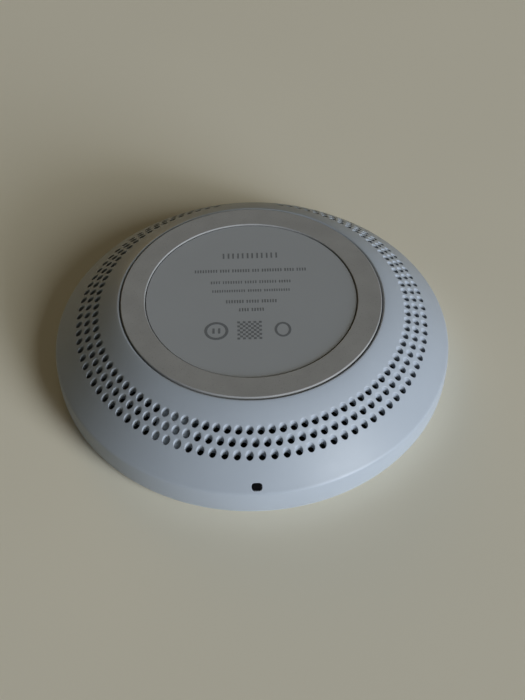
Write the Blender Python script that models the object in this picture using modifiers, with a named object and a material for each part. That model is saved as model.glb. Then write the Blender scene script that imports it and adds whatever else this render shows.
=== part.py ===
"""Wireless charging pad with a cooling fan, as an assembly of its separate pieces.

The pad lies on its charging face with the vented underside up. Frame: metres, origin at the middle
of the charging face, +Z up out of the foot ring, -Y towards the status window, +Y towards the cable
socket. Sizes below are in millimetres, and MM turns them into metres where meshes are made.
Heights are measured from the charging face, and angles round the pad run anticlockwise from +X.
"""

import math

import bmesh
import bpy
from mathutils import Matrix, Vector

MM = 0.001
SHARP_ANGLE = 35.0

# Overall sizes
PAD_RADIUS = 50.0
PAD_HEIGHT = 21.0

# Clearances
FIT_GAP = 0.3
TAPE_GAP = 0.2
GROOVE_GAP = 0.4
WINDOW_GAP = 0.15
RUNNING_GAP = 0.1
POST_GAP = 0.4

# How far a cutter reaches past the faces that it cuts
PAST = 1.0

# Vented case
WALL = 1.5
CENTRE_WALL = 1.9
FLANK_WIDTH = 17.4
LIP_ROUNDING = 0.35
LIP_SLOPE = 22.0
CREASE_SLOPE = 44.5
CREASE_HEIGHT = 7.95
CREASE_SETBACK = 0.4
BAND_FOOT_SETBACK = 0.15
FLANK_STEPS = 3
LIP_POINTS = 3
CASE_STEPS = 48

# Vent holes: straight down through the flank, in rows that are half a pitch apart
VENT_PITCHES = 96
VENT_RADIUS = 0.875
VENT_SIDES = 4
VENT_ROW_FROM_RIM = (6.8, 9.05, 11.3)
VENT_FREE_ANGLE = 10.2

# Rib under the vents, which shuts them between the intake and the exhaust side
RIB_ANGLE = 242.0
RIB_WIDTH = 8.4
RIB_LENGTH = 8.6
RIB_COVER = 1.3
RIB_BOTTOM = 9.0
RIB_STEPS = 3

# Foot ring and label plate, side by side in one round recess
FOOT_WIDTH = 5.8
FOOT_THICKNESS = 1.2
FOOT_PROUD = 0.3
FOOT_ROUNDING = 0.45
LABEL_DROP = 0.3
LABEL_ROUNDING = 0.15
TAPE_THICKNESS = 0.3
TAPE_INSET = 0.6
TRIM_STEPS = 48

# Charging cover and its grip ring
GRIP_PROUD = 0.25
GRIP_THICKNESS = 0.8
GRIP_INNER_RADIUS = 31.0
GRIP_WIDTH = 5.0
COVER_THICKNESS = 1.6
COVER_RIM_SETBACK = 0.6
COVER_RIM_HEIGHT = 0.6
COVER_ROUNDING = 0.4
COVER_LIP_WIDTH = 1.1
COVER_LIP_HEIGHT = 2.3
COVER_STEPS = 48

# Screws that hold the case to the cover, hidden under the foot ring
POST_COUNT = 4
POST_FIRST_ANGLE = 45.0
POST_RADIUS = 2.7
POST_SINK = 0.4
PILOT_RADIUS = 1.25
PILOT_DEPTH = 10.0
CASE_BOSS_RADIUS = 3.4
CASE_BOSS_HEIGHT = 1.0
CASE_SCREW_HEAD_RADIUS = 2.0
CASE_SCREW_HEAD_HEIGHT = 1.1
CASE_SCREW_RADIUS = 0.95
CASE_SCREW_LENGTH = 9.0

# Coil stack, from the charging cover up
COIL_INNER_RADIUS = 10.0
COIL_TURNS = 8
COIL_BAND_WIDTH = 1.15
COIL_THICKNESS = 1.0
COIL_POINTS_PER_TURN = 16
FERRITE_MARGIN = 1.5
FERRITE_THICKNESS = 0.7
CARRIER_RIM_WIDTH = 1.0
CARRIER_FLANGE_THICKNESS = 0.9
CARRIER_LEDGE = 3.2
CARRIER_FROM_LIP = 6.5
PLATE_STEPS = 32
SPREADER_THICKNESS = 0.8
SPREADER_INSET = 0.6
THERMISTOR_SIZE = (2.2, 1.4, 0.8)

# Main board and the screws that hold it and the carrier to the cover
BOARD_THICKNESS = 1.0
BOARD_FROM_RIM = 6.0
BOARD_LIFT = 1.4
BOARD_SCREW_ANGLES = (30.0, 150.0, 270.0)
BOARD_SCREWS_FROM_POSTS = 7.2
BOARD_BOSS_RADIUS = 2.4
BOARD_SCREW_HEAD_RADIUS = 1.7
BOARD_SCREW_HEAD_HEIGHT = 0.9
BOARD_SCREW_RADIUS = 0.95
BOARD_SCREW_LENGTH = 5.2
SCREW_STEPS = 8
DRIVE_RADIUS_SHARE = 0.5
DRIVE_DEPTH_SHARE = 0.5
HEAD_TOP_SHARE = 0.85
HEAD_SIDE_SHARE = 0.7

# Fan: a blower in the middle of the board, over the heat spreader
FAN_RADIUS = 17.5
FAN_WALL = 1.2
FAN_BASE_THICKNESS = 0.8
FAN_HEIGHT = 7.6
FAN_COVER_THICKNESS = 0.7
FAN_INLET_RADIUS = 9.6
FAN_OUTLET_ANGLE = 255.0
FAN_OUTLET_WIDTH = 18.0
FAN_EAR_ANGLES = (75.0, 195.0, 315.0)
FAN_EAR_RADIUS = 2.3
FAN_EAR_THICKNESS = 0.8
FAN_EAR_REACH = 3.2
FAN_ARM_WIDTH = 3.7
FAN_SCREW_HEAD_RADIUS = 1.3
FAN_SCREW_HEAD_HEIGHT = 0.7
FAN_SCREW_RADIUS = 0.6
FAN_SCREW_LENGTH = 2.6
FAN_STEPS = 32
ROTOR_HUB_RADIUS = 8.2
ROTOR_HUB_WALL = 0.8
ROTOR_HUB_CHAMFER = 0.4
ROTOR_TIP_GAP = 0.9
ROTOR_BLADES = 11
BLADE_THICKNESS = 0.6
BLADE_SWEEP = 28.0
BLADE_SETBACK = 0.4
ROTOR_END_GAP = 0.7
SHAFT_RADIUS = 0.75
BEARING_WALL = 1.3
BEARING_HEIGHT = 3.4
MAGNET_THICKNESS = 0.7
MAGNET_HEIGHT = 2.8
STATOR_POLES = 6
STATOR_POLE_WIDTH = 1.8
STATOR_HEIGHT = 2.2
STATOR_POLE_HEIGHT = 1.8
STATOR_AIR_GAP = 0.5
STATOR_RING_WIDTH = 1.6
SMALL_STEPS = 16

# Cable socket: a USB-C receptacle at the back of a pocket that takes the plug's grip
SOCKET_WIDTH = 8.94
SOCKET_HEIGHT = 3.26
SOCKET_DEPTH = 7.3
SOCKET_WALL = 0.3
SOCKET_ROUNDING = 1.3
TONGUE_WIDTH = 6.69
TONGUE_THICKNESS = 0.7
TONGUE_LENGTH = 4.45
SOCKET_BACK_DEPTH = 2.0
POCKET_WIDTH = 12.4
POCKET_HEIGHT = 7.0
POCKET_ROUNDING = 2.0
POCKET_FLOOR_FROM_RIM = 7.9
POCKET_WEB = 1.2
POCKET_WALL = 0.8
POCKET_WALLS_FROM_RIM = 2.0
POCKET_SKIN = 0.5
CORNER_SEGMENTS = 4

# Status window, low on the flank opposite the socket, and its lamp
WINDOW_ANGLE = 270.0
WINDOW_WIDTH = 2.4
WINDOW_HEIGHT = 1.8
WINDOW_ROUNDING = 0.7
WINDOW_FROM_RIM = 1.5
WINDOW_RECESS = 0.25
WINDOW_LENGTH = 2.0
LED_SIZE = (1.6, 0.8, 0.6)
LED_FROM_EDGE = 1.2

# Parts on the board: name, size along the radius, across it and up, distance from the pad's
# axis, and angle round the pad
BOARD_PARTS = (
    ("controller_chip", (5.0, 5.0, 0.9), 35.5, 20.0),
    ("driver_chip", (4.0, 4.0, 0.9), 35.0, 340.0),
    ("power_transistor_1", (3.3, 3.3, 0.9), 22.6, 8.0),
    ("power_transistor_2", (3.3, 3.3, 0.9), 22.6, 352.0),
    ("power_transistor_3", (3.3, 3.3, 0.9), 22.6, 24.0),
    ("power_transistor_4", (3.3, 3.3, 0.9), 22.6, 336.0),
    ("input_inductor", (6.6, 6.6, 3.0), 35.0, 68.0),
    ("resonant_capacitor_1", (3.2, 2.5, 1.6), 36.5, 198.0),
    ("resonant_capacitor_2", (3.2, 2.5, 1.6), 36.5, 204.0),
    ("resonant_capacitor_3", (3.2, 2.5, 1.6), 36.5, 210.0),
    ("input_capacitor", (3.2, 1.6, 1.6), 35.0, 108.0),
    ("fan_socket", (3.4, 4.6, 2.0), 26.5, 120.0),
)

# Wires: the coil's two leads and the fan's flat lead
COIL_LEAD_RADIUS = 0.4
COIL_LEAD_ANGLE = 190.0
COIL_LEAD_SPREAD = 3.0
COIL_LEAD_START = 0.9
COIL_LEAD_FROM_RIM = 0.6
LEAD_SLOT_WIDTH = 8.0
LEAD_SLOT_LENGTH = 3.0
FAN_LEAD_RADIUS = 0.4
WIRE_SMOOTHING = 3

# Where each wire bends: the coil's leads by (distance out past the slot, height over the board),
# the fan's lead by (distance in from its socket, angle back from it, drop)
COIL_LEAD_BENDS = ((1.6, 1.0), (4.0, COIL_LEAD_RADIUS))
FAN_LEAD_BENDS = ((0.0, 0.0, 0.0), (1.4, 1.0, 0.0), (2.8, 5.0, 0.2), (4.0, 12.0, 0.3))
FAN_LEAD_LANDING = (22.0, 0.3)

# Heights and radii that follow from the sizes above
FOOT_TOP = PAD_HEIGHT
LIP_TOP = FOOT_TOP - FOOT_PROUD
FOOT_BOTTOM = FOOT_TOP - FOOT_THICKNESS
RECESS_FLOOR = FOOT_BOTTOM - TAPE_THICKNESS - 2 * TAPE_GAP
CEILING = RECESS_FLOOR - CENTRE_WALL
RECESS_RADIUS = PAD_RADIUS - FLANK_WIDTH
FOOT_OUTER_RADIUS = RECESS_RADIUS - GROOVE_GAP
FOOT_INNER_RADIUS = FOOT_OUTER_RADIUS - FOOT_WIDTH
FOOT_MIDDLE_RADIUS = FOOT_OUTER_RADIUS - FOOT_WIDTH / 2
LABEL_RADIUS = FOOT_INNER_RADIUS - GROOVE_GAP
CREASE_RADIUS = PAD_RADIUS - CREASE_SETBACK
COVER_FACE = GRIP_PROUD
COVER_TOP = COVER_FACE + COVER_THICKNESS
COVER_SHELF = COVER_FACE + COVER_RIM_HEIGHT
CASE_BOTTOM = COVER_SHELF + FIT_GAP
BAND_INNER_RADIUS = PAD_RADIUS - BAND_FOOT_SETBACK - WALL
COVER_LIP_RADIUS = BAND_INNER_RADIUS - FIT_GAP
CASE_BOSS_BOTTOM = CEILING - CASE_BOSS_HEIGHT
POST_TOP = CASE_BOSS_BOTTOM - FIT_GAP
CARRIER_RIM_RADIUS = FOOT_MIDDLE_RADIUS - POST_RADIUS - POST_GAP
FERRITE_RADIUS = CARRIER_RIM_RADIUS - CARRIER_RIM_WIDTH - FIT_GAP
COIL_OUTER_RADIUS = FERRITE_RADIUS - FERRITE_MARGIN
COIL_BOTTOM = COVER_TOP + FIT_GAP
COIL_TOP = COIL_BOTTOM + COIL_THICKNESS
FERRITE_BOTTOM = COIL_TOP + FIT_GAP
FERRITE_TOP = FERRITE_BOTTOM + FERRITE_THICKNESS
CARRIER_LOW = FERRITE_TOP + FIT_GAP
CARRIER_TOP = CARRIER_LOW + CARRIER_FLANGE_THICKNESS
CARRIER_RADIUS = COVER_LIP_RADIUS - CARRIER_FROM_LIP
CARRIER_OPENING = FERRITE_RADIUS - CARRIER_LEDGE
SPREADER_BOTTOM = CARRIER_TOP + FIT_GAP
SPREADER_TOP = SPREADER_BOTTOM + SPREADER_THICKNESS
SPREADER_RADIUS = CARRIER_RIM_RADIUS - SPREADER_INSET
BOARD_BOTTOM = CARRIER_TOP + BOARD_LIFT
BOARD_TOP = BOARD_BOTTOM + BOARD_THICKNESS
BOARD_RADIUS = PAD_RADIUS - BOARD_FROM_RIM
BOARD_SCREW_CIRCLE = FOOT_MIDDLE_RADIUS + BOARD_SCREWS_FROM_POSTS
ON_BOARD = BOARD_TOP + FIT_GAP
FAN_BOTTOM = SPREADER_TOP + FIT_GAP
FAN_FLOOR = FAN_BOTTOM + FAN_BASE_THICKNESS
FAN_TOP = FAN_BOTTOM + FAN_HEIGHT
FAN_EAR_CIRCLE = FAN_RADIUS + FAN_EAR_REACH
BOARD_OPENING = FAN_RADIUS + FIT_GAP
ROTOR_BOTTOM = FAN_FLOOR + ROTOR_END_GAP
ROTOR_TOP = FAN_TOP - ROTOR_END_GAP
ROTOR_RADIUS = FAN_RADIUS - FAN_WALL - ROTOR_TIP_GAP
HUB_CEILING = ROTOR_TOP - ROTOR_HUB_WALL
SOCKET_MIDDLE = ON_BOARD + SOCKET_HEIGHT / 2
POCKET_FLOOR = PAD_RADIUS - POCKET_FLOOR_FROM_RIM
SOCKET_MOUTH = POCKET_FLOOR - FIT_GAP


def polar(radius, angle, height=0.0):
    """The point at a distance from the pad's axis, at an angle in degrees, at a height."""
    turn = math.radians(angle)
    return Vector((radius * math.cos(turn), radius * math.sin(turn), height))


def upright(radius, angle, height):
    """A matrix in metres that puts a shape's +X along the pad's radius at that place."""
    spin = Matrix.Rotation(math.radians(angle), 4, "Z")
    return Matrix.Translation(polar(radius, angle, height) * MM) @ spin


# ---------------------------------------------------------------- the case's outline


def flank_corner():
    """Where the flank's tangents at the lip and at the crease meet: its curve's control point."""
    lip_run = RECESS_RADIUS + LIP_ROUNDING
    slope_a = math.tan(math.radians(LIP_SLOPE))
    slope_b = math.tan(math.radians(CREASE_SLOPE))
    across = CREASE_RADIUS - lip_run
    drop = LIP_TOP - CREASE_HEIGHT
    run = (across * slope_b - drop) / (slope_b - slope_a)
    return Vector((lip_run + run, LIP_TOP - run * slope_a))


def flank_point(share):
    """A point on the flank, from the lip (0) to the crease (1), and its outward normal."""
    start = Vector((RECESS_RADIUS + LIP_ROUNDING, LIP_TOP))
    end = Vector((CREASE_RADIUS, CREASE_HEIGHT))
    corner = flank_corner()
    point = start * (1 - share) ** 2 + corner * 2 * share * (1 - share) + end * share**2
    along = (corner - start) * (1 - share) + (end - corner) * share
    along.normalize()
    return point, Vector((-along.y, along.x))


def flank_at(radius):
    """The height and outward normal of the flank at a distance from the pad's axis."""
    low, high = 0.0, 1.0
    while high - low > 0.000001:
        middle = (low + high) / 2
        if flank_point(middle)[0].x < radius:
            low = middle
        else:
            high = middle
    point, normal = flank_point(low)
    return point.y, normal


def case_outside():
    """The case's outer outline, from the recess's rounded lip down to the seam with the cover."""
    points = []
    for step in range(LIP_POINTS):
        turn = math.pi - math.pi / 2 * step / (LIP_POINTS - 1)
        points.append((
            RECESS_RADIUS + LIP_ROUNDING * (1 + math.cos(turn)),
            LIP_TOP - LIP_ROUNDING * (1 - math.sin(turn)),
        ))
    points += [tuple(flank_point(k / FLANK_STEPS)[0]) for k in range(1, FLANK_STEPS + 1)]
    widest = (CREASE_HEIGHT + CASE_BOTTOM) / 2
    points += [
        (PAD_RADIUS - CREASE_SETBACK / 3, CREASE_HEIGHT - CREASE_SETBACK),
        (PAD_RADIUS, widest),
        (PAD_RADIUS - BAND_FOOT_SETBACK, CASE_BOTTOM),
    ]
    return points


def case_inside():
    """The case's inner outline, from the seam up to the ceiling and in to the axis."""
    points = [(BAND_INNER_RADIUS, CASE_BOTTOM)]
    for step in range(FLANK_STEPS, -1, -1):
        point, normal = flank_point(step / FLANK_STEPS)
        inner = point - normal * WALL
        radius = min(inner.x, BAND_INNER_RADIUS)
        if inner.y >= CEILING:
            last_radius, last_height = points[-1]
            share = (CEILING - last_height) / (inner.y - last_height)
            points.append((last_radius + share * (radius - last_radius), CEILING))
            break
        points.append((radius, inner.y))
    return points + [(0.0, CEILING)]


# ---------------------------------------------------------------- tools for making pieces


def material(name, color, roughness, metallic=0.0):
    """A Principled material of one colour."""
    made = bpy.data.materials.new(name)
    made.use_nodes = True
    shader = made.node_tree.nodes["Principled BSDF"]
    shader.inputs["Base Color"].default_value = (*color, 1.0)
    shader.inputs["Roughness"].default_value = roughness
    shader.inputs["Metallic"].default_value = metallic
    return made


def add_object(name, data, finish=None):
    """Put a mesh or curve in the scene: a piece if it has a finish, and a cutter if not."""
    obj = bpy.data.objects.new(name, data)
    if finish is None:
        CUTTERS.objects.link(obj)
        obj.hide_render = True
        obj.display_type = "WIRE"
    else:
        PIECES.objects.link(obj)
        data.materials.append(finish)
    return obj


def mesh_from(name, bm):
    """A mesh from a bmesh, with round sides shaded smooth."""
    data = bpy.data.meshes.new(name)
    bm.to_mesh(data)
    bm.free()
    data.shade_smooth()
    data.set_sharp_from_angle(angle=math.radians(SHARP_ANGLE))
    return data


def turned(name, outline, steps, finish=None, spot=None):
    """Turn an outline of (radius, height) round the vertical axis.

    The outline runs from the top down its outer side. It starts and ends on the axis, or it is
    closed. spot is the matrix that places the turned shape.
    """
    on_axis = outline[0][0] == 0.0 and outline[-1][0] == 0.0
    count = len(outline)
    edges = [(k, k + 1) for k in range(count - 1)]
    if not on_axis:
        edges.append((count - 1, 0))
    data = bpy.data.meshes.new(name)
    data.from_pydata([(r * MM, 0.0, z * MM) for r, z in outline], edges, [])
    obj = add_object(name, data, finish)
    turn = obj.modifiers.new("turn", "SCREW")
    turn.axis = "Z"
    turn.angle = math.tau
    turn.steps = steps
    turn.render_steps = steps
    turn.use_merge_vertices = True
    turn.merge_threshold = 0.000001
    turn.use_smooth_shade = True
    if spot is not None:
        obj.matrix_world = spot
    return obj


def disc_outline(radius, bottom, top):
    return [(0.0, top), (radius, top), (radius, bottom), (0.0, bottom)]


def ring_outline(inner, outer, bottom, top):
    return [(inner, top), (outer, top), (outer, bottom), (inner, bottom)]


def rounded_ring_outline(inner, outer, bottom, top, rounding, steps=3):
    """A ring's outline whose two top edges are rounded."""
    points = []
    for centre, first in ((inner + rounding, 180), (outer - rounding, 90)):
        for step in range(steps + 1):
            turn = math.radians(first - 90 * step / steps)
            points.append((
                centre + rounding * math.cos(turn),
                top - rounding + rounding * math.sin(turn),
            ))
    return points + [(outer, bottom), (inner, bottom)]


def rods(name, radius, bottom, top, places, sides=SMALL_STEPS, finish=None):
    """Upright rods of one size at a list of (distance from the axis, angle), as one mesh.

    A flat of each rod faces the axis, so that no corner falls on the edge of a turned facet.
    """
    bm = bmesh.new()
    turn = Matrix.Rotation(math.pi / sides, 4, "Z")
    for distance, angle in places:
        bmesh.ops.create_cone(
            bm, cap_ends=True, segments=sides, radius1=radius * MM, radius2=radius * MM,
            depth=(top - bottom) * MM, matrix=upright(distance, angle, (top + bottom) / 2) @ turn,
        )
    return add_object(name, mesh_from(name, bm), finish)


def block(name, size, spot, finish=None, rounding=0.0, along="Y"):
    """A box of a size in millimetres, whose four edges along one axis may be rounded."""
    bm = bmesh.new()
    bmesh.ops.create_cube(bm, size=1.0)
    bmesh.ops.scale(bm, vec=Vector(size) * MM, verts=bm.verts)
    if rounding:
        axis = "XYZ".index(along)
        edges = [
            e for e in bm.edges
            if abs((e.verts[0].co - e.verts[1].co)[axis]) > 0.5 * size[axis] * MM
        ]
        bmesh.ops.bevel(
            bm, geom=edges, offset=rounding * MM, offset_type="OFFSET",
            segments=CORNER_SEGMENTS, profile=0.5, affect="EDGES",
        )
    obj = add_object(name, mesh_from(name, bm), finish)
    obj.matrix_world = spot
    return obj


def boolean(obj, operation, *others):
    """Cut other shapes out of a piece, join them to it, or keep only what lies in them."""
    for other in others:
        step = obj.modifiers.new(f"{operation.lower()}_{other.name}", "BOOLEAN")
        step.operation = operation
        step.solver = "EXACT"
        step.object = other


def smooth_route(points):
    """Points along a smooth curve through a wire's own points."""
    route = []
    padded = [points[0], *points, points[-1]]
    for a, b, c, d in zip(padded, padded[1:], padded[2:], padded[3:]):
        for step in range(WIRE_SMOOTHING):
            t = step / WIRE_SMOOTHING
            route.append(0.5 * (
                2 * b + (c - a) * t + (2 * a - 5 * b + 4 * c - d) * t**2
                + (3 * b - a - 3 * c + d) * t**3
            ))
    return [*route, points[-1]]


def wire(name, points, radius, finish):
    """A round wire along a route."""
    route = smooth_route(points)
    data = bpy.data.curves.new(name, "CURVE")
    data.dimensions = "3D"
    data.bevel_depth = radius * MM
    data.bevel_resolution = 1
    data.use_fill_caps = True
    spline = data.splines.new("POLY")
    spline.points.add(len(route) - 1)
    for point, place in zip(spline.points, route):
        point.co = (*(place * MM), 1.0)
    return add_object(name, data, finish)


def screw_outline(head_radius, head_height, radius, length):
    """A screw whose head's underside is at height 0, with a round drive socket in the head."""
    drive = head_radius * DRIVE_RADIUS_SHARE
    floor = head_height * (1 - DRIVE_DEPTH_SHARE)
    return [
        (0.0, floor), (drive, floor), (drive, head_height),
        (head_radius * HEAD_TOP_SHARE, head_height),
        (head_radius, head_height * HEAD_SIDE_SHARE), (head_radius, 0.0), (radius, 0.0),
        (radius, radius - length), (0.0, -length),
    ]


# ---------------------------------------------------------------- the scene


def clear_scene():
    for obj in list(bpy.data.objects):
        bpy.data.objects.remove(obj)
    for group in list(bpy.data.collections):
        bpy.data.collections.remove(group)


def add_collection(name):
    group = bpy.data.collections.new(name)
    bpy.context.scene.collection.children.link(group)
    return group


clear_scene()
PIECES = add_collection("wireless_charging_pad")
CUTTERS = add_collection("cutters")

CASE_WHITE = material("case_plastic", (0.62, 0.66, 0.70), 0.45)
COVER_WHITE = material("cover_plastic", (0.64, 0.67, 0.70), 0.40)
FOOT_RUBBER = material("foot_rubber", (0.40, 0.40, 0.38), 0.75)
GRIP_SILICONE = material("grip_silicone", (0.58, 0.60, 0.61), 0.70)
LABEL_GREY = material("label_plastic", (0.40, 0.42, 0.44), 0.55)
TAPE = material("adhesive_tape", (0.75, 0.74, 0.70), 0.60)
SMOKED = material("smoked_window", (0.02, 0.02, 0.02), 0.15)
LAMP = material("lamp_resin", (0.85, 0.84, 0.70), 0.30)
COPPER = material("enamelled_copper", (0.62, 0.28, 0.12), 0.35, 0.9)
FERRITE = material("ferrite", (0.06, 0.06, 0.07), 0.50)
CARRIER_PLASTIC = material("carrier_plastic", (0.08, 0.08, 0.09), 0.60)
SILICONE_PAD = material("thermal_silicone", (0.35, 0.45, 0.62), 0.80)
ALUMINIUM = material("spreader_aluminium", (0.75, 0.76, 0.77), 0.35, 1.0)
BOARD_MASK = material("board_mask", (0.02, 0.03, 0.03), 0.45)
CHIP_RESIN = material("chip_resin", (0.03, 0.03, 0.03), 0.55)
CERAMIC = material("capacitor_ceramic", (0.45, 0.34, 0.22), 0.40)
INDUCTOR_GREY = material("inductor_ferrite", (0.18, 0.18, 0.19), 0.60)
STEEL = material("plated_steel", (0.60, 0.60, 0.61), 0.30, 1.0)
FAN_BLACK = material("fan_plastic", (0.03, 0.03, 0.03), 0.50)
BRONZE = material("bearing_bronze", (0.55, 0.38, 0.18), 0.40, 0.9)
MAGNET = material("magnet_ferrite", (0.12, 0.12, 0.13), 0.45)
WIRE_SLEEVE = material("wire_sleeve", (0.05, 0.05, 0.05), 0.50)
PLUG_NYLON = material("connector_nylon", (0.80, 0.78, 0.70), 0.50)


# ---------------------------------------------------------------- outer pieces


def post_places():
    """Each post's distance from the axis and angle. The next two functions give the same."""
    step = 360.0 / POST_COUNT
    return [(FOOT_MIDDLE_RADIUS, POST_FIRST_ANGLE + k * step) for k in range(POST_COUNT)]


def board_screw_places():
    return [(BOARD_SCREW_CIRCLE, angle) for angle in BOARD_SCREW_ANGLES]


def ear_places():
    return [(FAN_EAR_CIRCLE, angle) for angle in FAN_EAR_ANGLES]


def vent_places():
    """Every vent's distance from the axis and angle. Alternate rows sit half a pitch round."""
    pitch = 360.0 / VENT_PITCHES
    places = []
    for row, from_rim in enumerate(VENT_ROW_FROM_RIM):
        shift = 0.0 if row % 2 else pitch / 2
        for step in range(VENT_PITCHES):
            angle = WINDOW_ANGLE + shift + step * pitch
            from_socket = abs((angle - 90.0 + 180.0) % 360.0 - 180.0)
            if from_socket > VENT_FREE_ANGLE:
                places.append((PAD_RADIUS - from_rim, angle))
    return places


def vent_cutter():
    """All the vents as one mesh of upright prisms that end just under the flank.

    Each prism has the area of the round hole, and its flats face the axis.
    """
    bm = bmesh.new()
    share = math.tau / VENT_SIDES
    corner = VENT_RADIUS * math.sqrt(share / math.sin(share))
    turn = Matrix.Rotation(share / 2, 4, "Z")
    for distance, angle in vent_places():
        height, _ = flank_at(distance)
        depth = 4 * WALL
        bmesh.ops.create_cone(
            bm, cap_ends=True, segments=VENT_SIDES, radius1=corner * MM, radius2=corner * MM,
            depth=depth * MM, matrix=upright(distance, angle, height - depth / 2 + WALL) @ turn,
        )
    return add_object("vent_cutter", mesh_from("vent_cutter", bm))


def vent_rib():
    """The rib's solid: a strip of a ring that follows the underside of the flank."""
    middle = PAD_RADIUS - VENT_ROW_FROM_RIM[1]
    inner = middle - RIB_LENGTH / 2
    outer = middle + RIB_LENGTH / 2
    top = []
    for step in range(RIB_STEPS + 1):
        radius = inner + RIB_LENGTH * step / RIB_STEPS
        top.append((radius, flank_at(radius)[0] - RIB_COVER))
    ring = turned("rib_ring", top + [(outer, RIB_BOTTOM), (inner, RIB_BOTTOM)], CASE_STEPS)
    size = (RIB_LENGTH * 2, RIB_WIDTH, PAD_HEIGHT)
    strip = block("rib_strip", size, upright(middle, RIB_ANGLE, PAD_HEIGHT / 2))
    boolean(ring, "INTERSECT", strip)
    return ring


def socket_pocket():
    """The pocket's walls, the pocket and the receptacle's slot, for the case's cable socket."""
    walls_depth = POCKET_FLOOR_FROM_RIM - POCKET_WALLS_FROM_RIM + POCKET_WEB
    walls_top = flank_at(POCKET_FLOOR)[0] - POCKET_SKIN
    walls_bottom = SOCKET_MIDDLE - POCKET_HEIGHT / 2 - POCKET_WALL
    walls = block(
        "pocket_walls",
        (POCKET_WIDTH + 2 * POCKET_WALL, walls_depth, walls_top - walls_bottom),
        Matrix.Translation(Vector((
            0.0, POCKET_FLOOR - POCKET_WEB + walls_depth / 2, (walls_top + walls_bottom) / 2,
        )) * MM),
    )
    skin = [(r - POCKET_SKIN, z - POCKET_SKIN) for r, z in case_outside()[LIP_POINTS:]]
    under_flank = turned(
        "under_flank", [(0.0, PAD_HEIGHT), *skin, (0.0, CASE_BOTTOM)], CASE_STEPS,
    )
    boolean(walls, "INTERSECT", under_flank)
    pocket = block(
        "pocket_cutter", (POCKET_WIDTH, 2 * POCKET_FLOOR_FROM_RIM, POCKET_HEIGHT),
        Matrix.Translation(
            Vector((0.0, POCKET_FLOOR + POCKET_FLOOR_FROM_RIM, SOCKET_MIDDLE)) * MM
        ),
        rounding=POCKET_ROUNDING,
    )
    slot_size = (SOCKET_WIDTH + 2 * FIT_GAP, 6 * POCKET_WEB, SOCKET_HEIGHT + 2 * FIT_GAP)
    slot = block(
        "slot_cutter", slot_size,
        Matrix.Translation(Vector((0.0, POCKET_FLOOR, SOCKET_MIDDLE)) * MM),
        rounding=SOCKET_ROUNDING + FIT_GAP,
    )
    return walls, pocket, slot


def window_spot(depth):
    """A matrix at the status window whose +Z is the flank's outward normal."""
    radius = PAD_RADIUS - WINDOW_FROM_RIM
    height, normal = flank_at(radius)
    lean = math.atan2(normal.x, normal.y)
    tilt = Matrix.Rotation(lean, 4, "Y")
    sink = Matrix.Translation(Vector((0.0, 0.0, -depth * MM)))
    return upright(radius, WINDOW_ANGLE, height) @ tilt @ sink


def make_bottom_case():
    outline = [(0.0, RECESS_FLOOR), (RECESS_RADIUS, RECESS_FLOOR)]
    case = turned("bottom_case", outline + case_outside() + case_inside(), CASE_STEPS, CASE_WHITE)
    boolean(case, "DIFFERENCE", vent_cutter())
    boolean(case, "UNION", vent_rib())
    walls, pocket, slot = socket_pocket()
    boolean(case, "UNION", walls)
    bosses = rods(
        "case_bosses", CASE_BOSS_RADIUS, CASE_BOSS_BOTTOM, CEILING + CENTRE_WALL / 2,
        post_places(),
    )
    boolean(case, "UNION", bosses)
    head_room = RECESS_FLOOR - CASE_SCREW_HEAD_HEIGHT - FIT_GAP
    heads = rods(
        "head_cutter", CASE_SCREW_HEAD_RADIUS + FIT_GAP, head_room, RECESS_FLOOR + PAST,
        post_places(),
    )
    shanks = rods(
        "shank_cutter", CASE_SCREW_RADIUS + FIT_GAP, CASE_BOSS_BOTTOM - PAST,
        head_room + FIT_GAP, post_places(), sides=SCREW_STEPS,
    )
    window = block(
        "window_cutter", (WINDOW_HEIGHT, WINDOW_WIDTH, 6 * WALL), window_spot(0.0),
        rounding=WINDOW_ROUNDING, along="Z",
    )
    boolean(case, "DIFFERENCE", pocket, slot, heads, shanks, window)


def make_underside_trim():
    """The foot ring and the label plate, with the tapes that hold them in their recess."""
    turned(
        "foot_ring",
        rounded_ring_outline(
            FOOT_INNER_RADIUS, FOOT_OUTER_RADIUS, FOOT_BOTTOM, FOOT_TOP, FOOT_ROUNDING
        ),
        TRIM_STEPS, FOOT_RUBBER,
    )
    label_top = FOOT_TOP - LABEL_DROP
    turned(
        "label_plate",
        [
            (0.0, label_top), (LABEL_RADIUS - LABEL_ROUNDING, label_top),
            (LABEL_RADIUS, label_top - LABEL_ROUNDING), (LABEL_RADIUS, FOOT_BOTTOM),
            (0.0, FOOT_BOTTOM),
        ],
        TRIM_STEPS, LABEL_GREY,
    )
    tape_bottom = RECESS_FLOOR + TAPE_GAP
    tape_top = tape_bottom + TAPE_THICKNESS
    turned(
        "foot_tape",
        ring_outline(
            FOOT_INNER_RADIUS + TAPE_INSET, FOOT_OUTER_RADIUS - TAPE_INSET, tape_bottom, tape_top
        ),
        PLATE_STEPS, TAPE,
    )
    turned(
        "label_tape", disc_outline(LABEL_RADIUS - TAPE_INSET, tape_bottom, tape_top),
        PLATE_STEPS, TAPE,
    )


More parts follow.
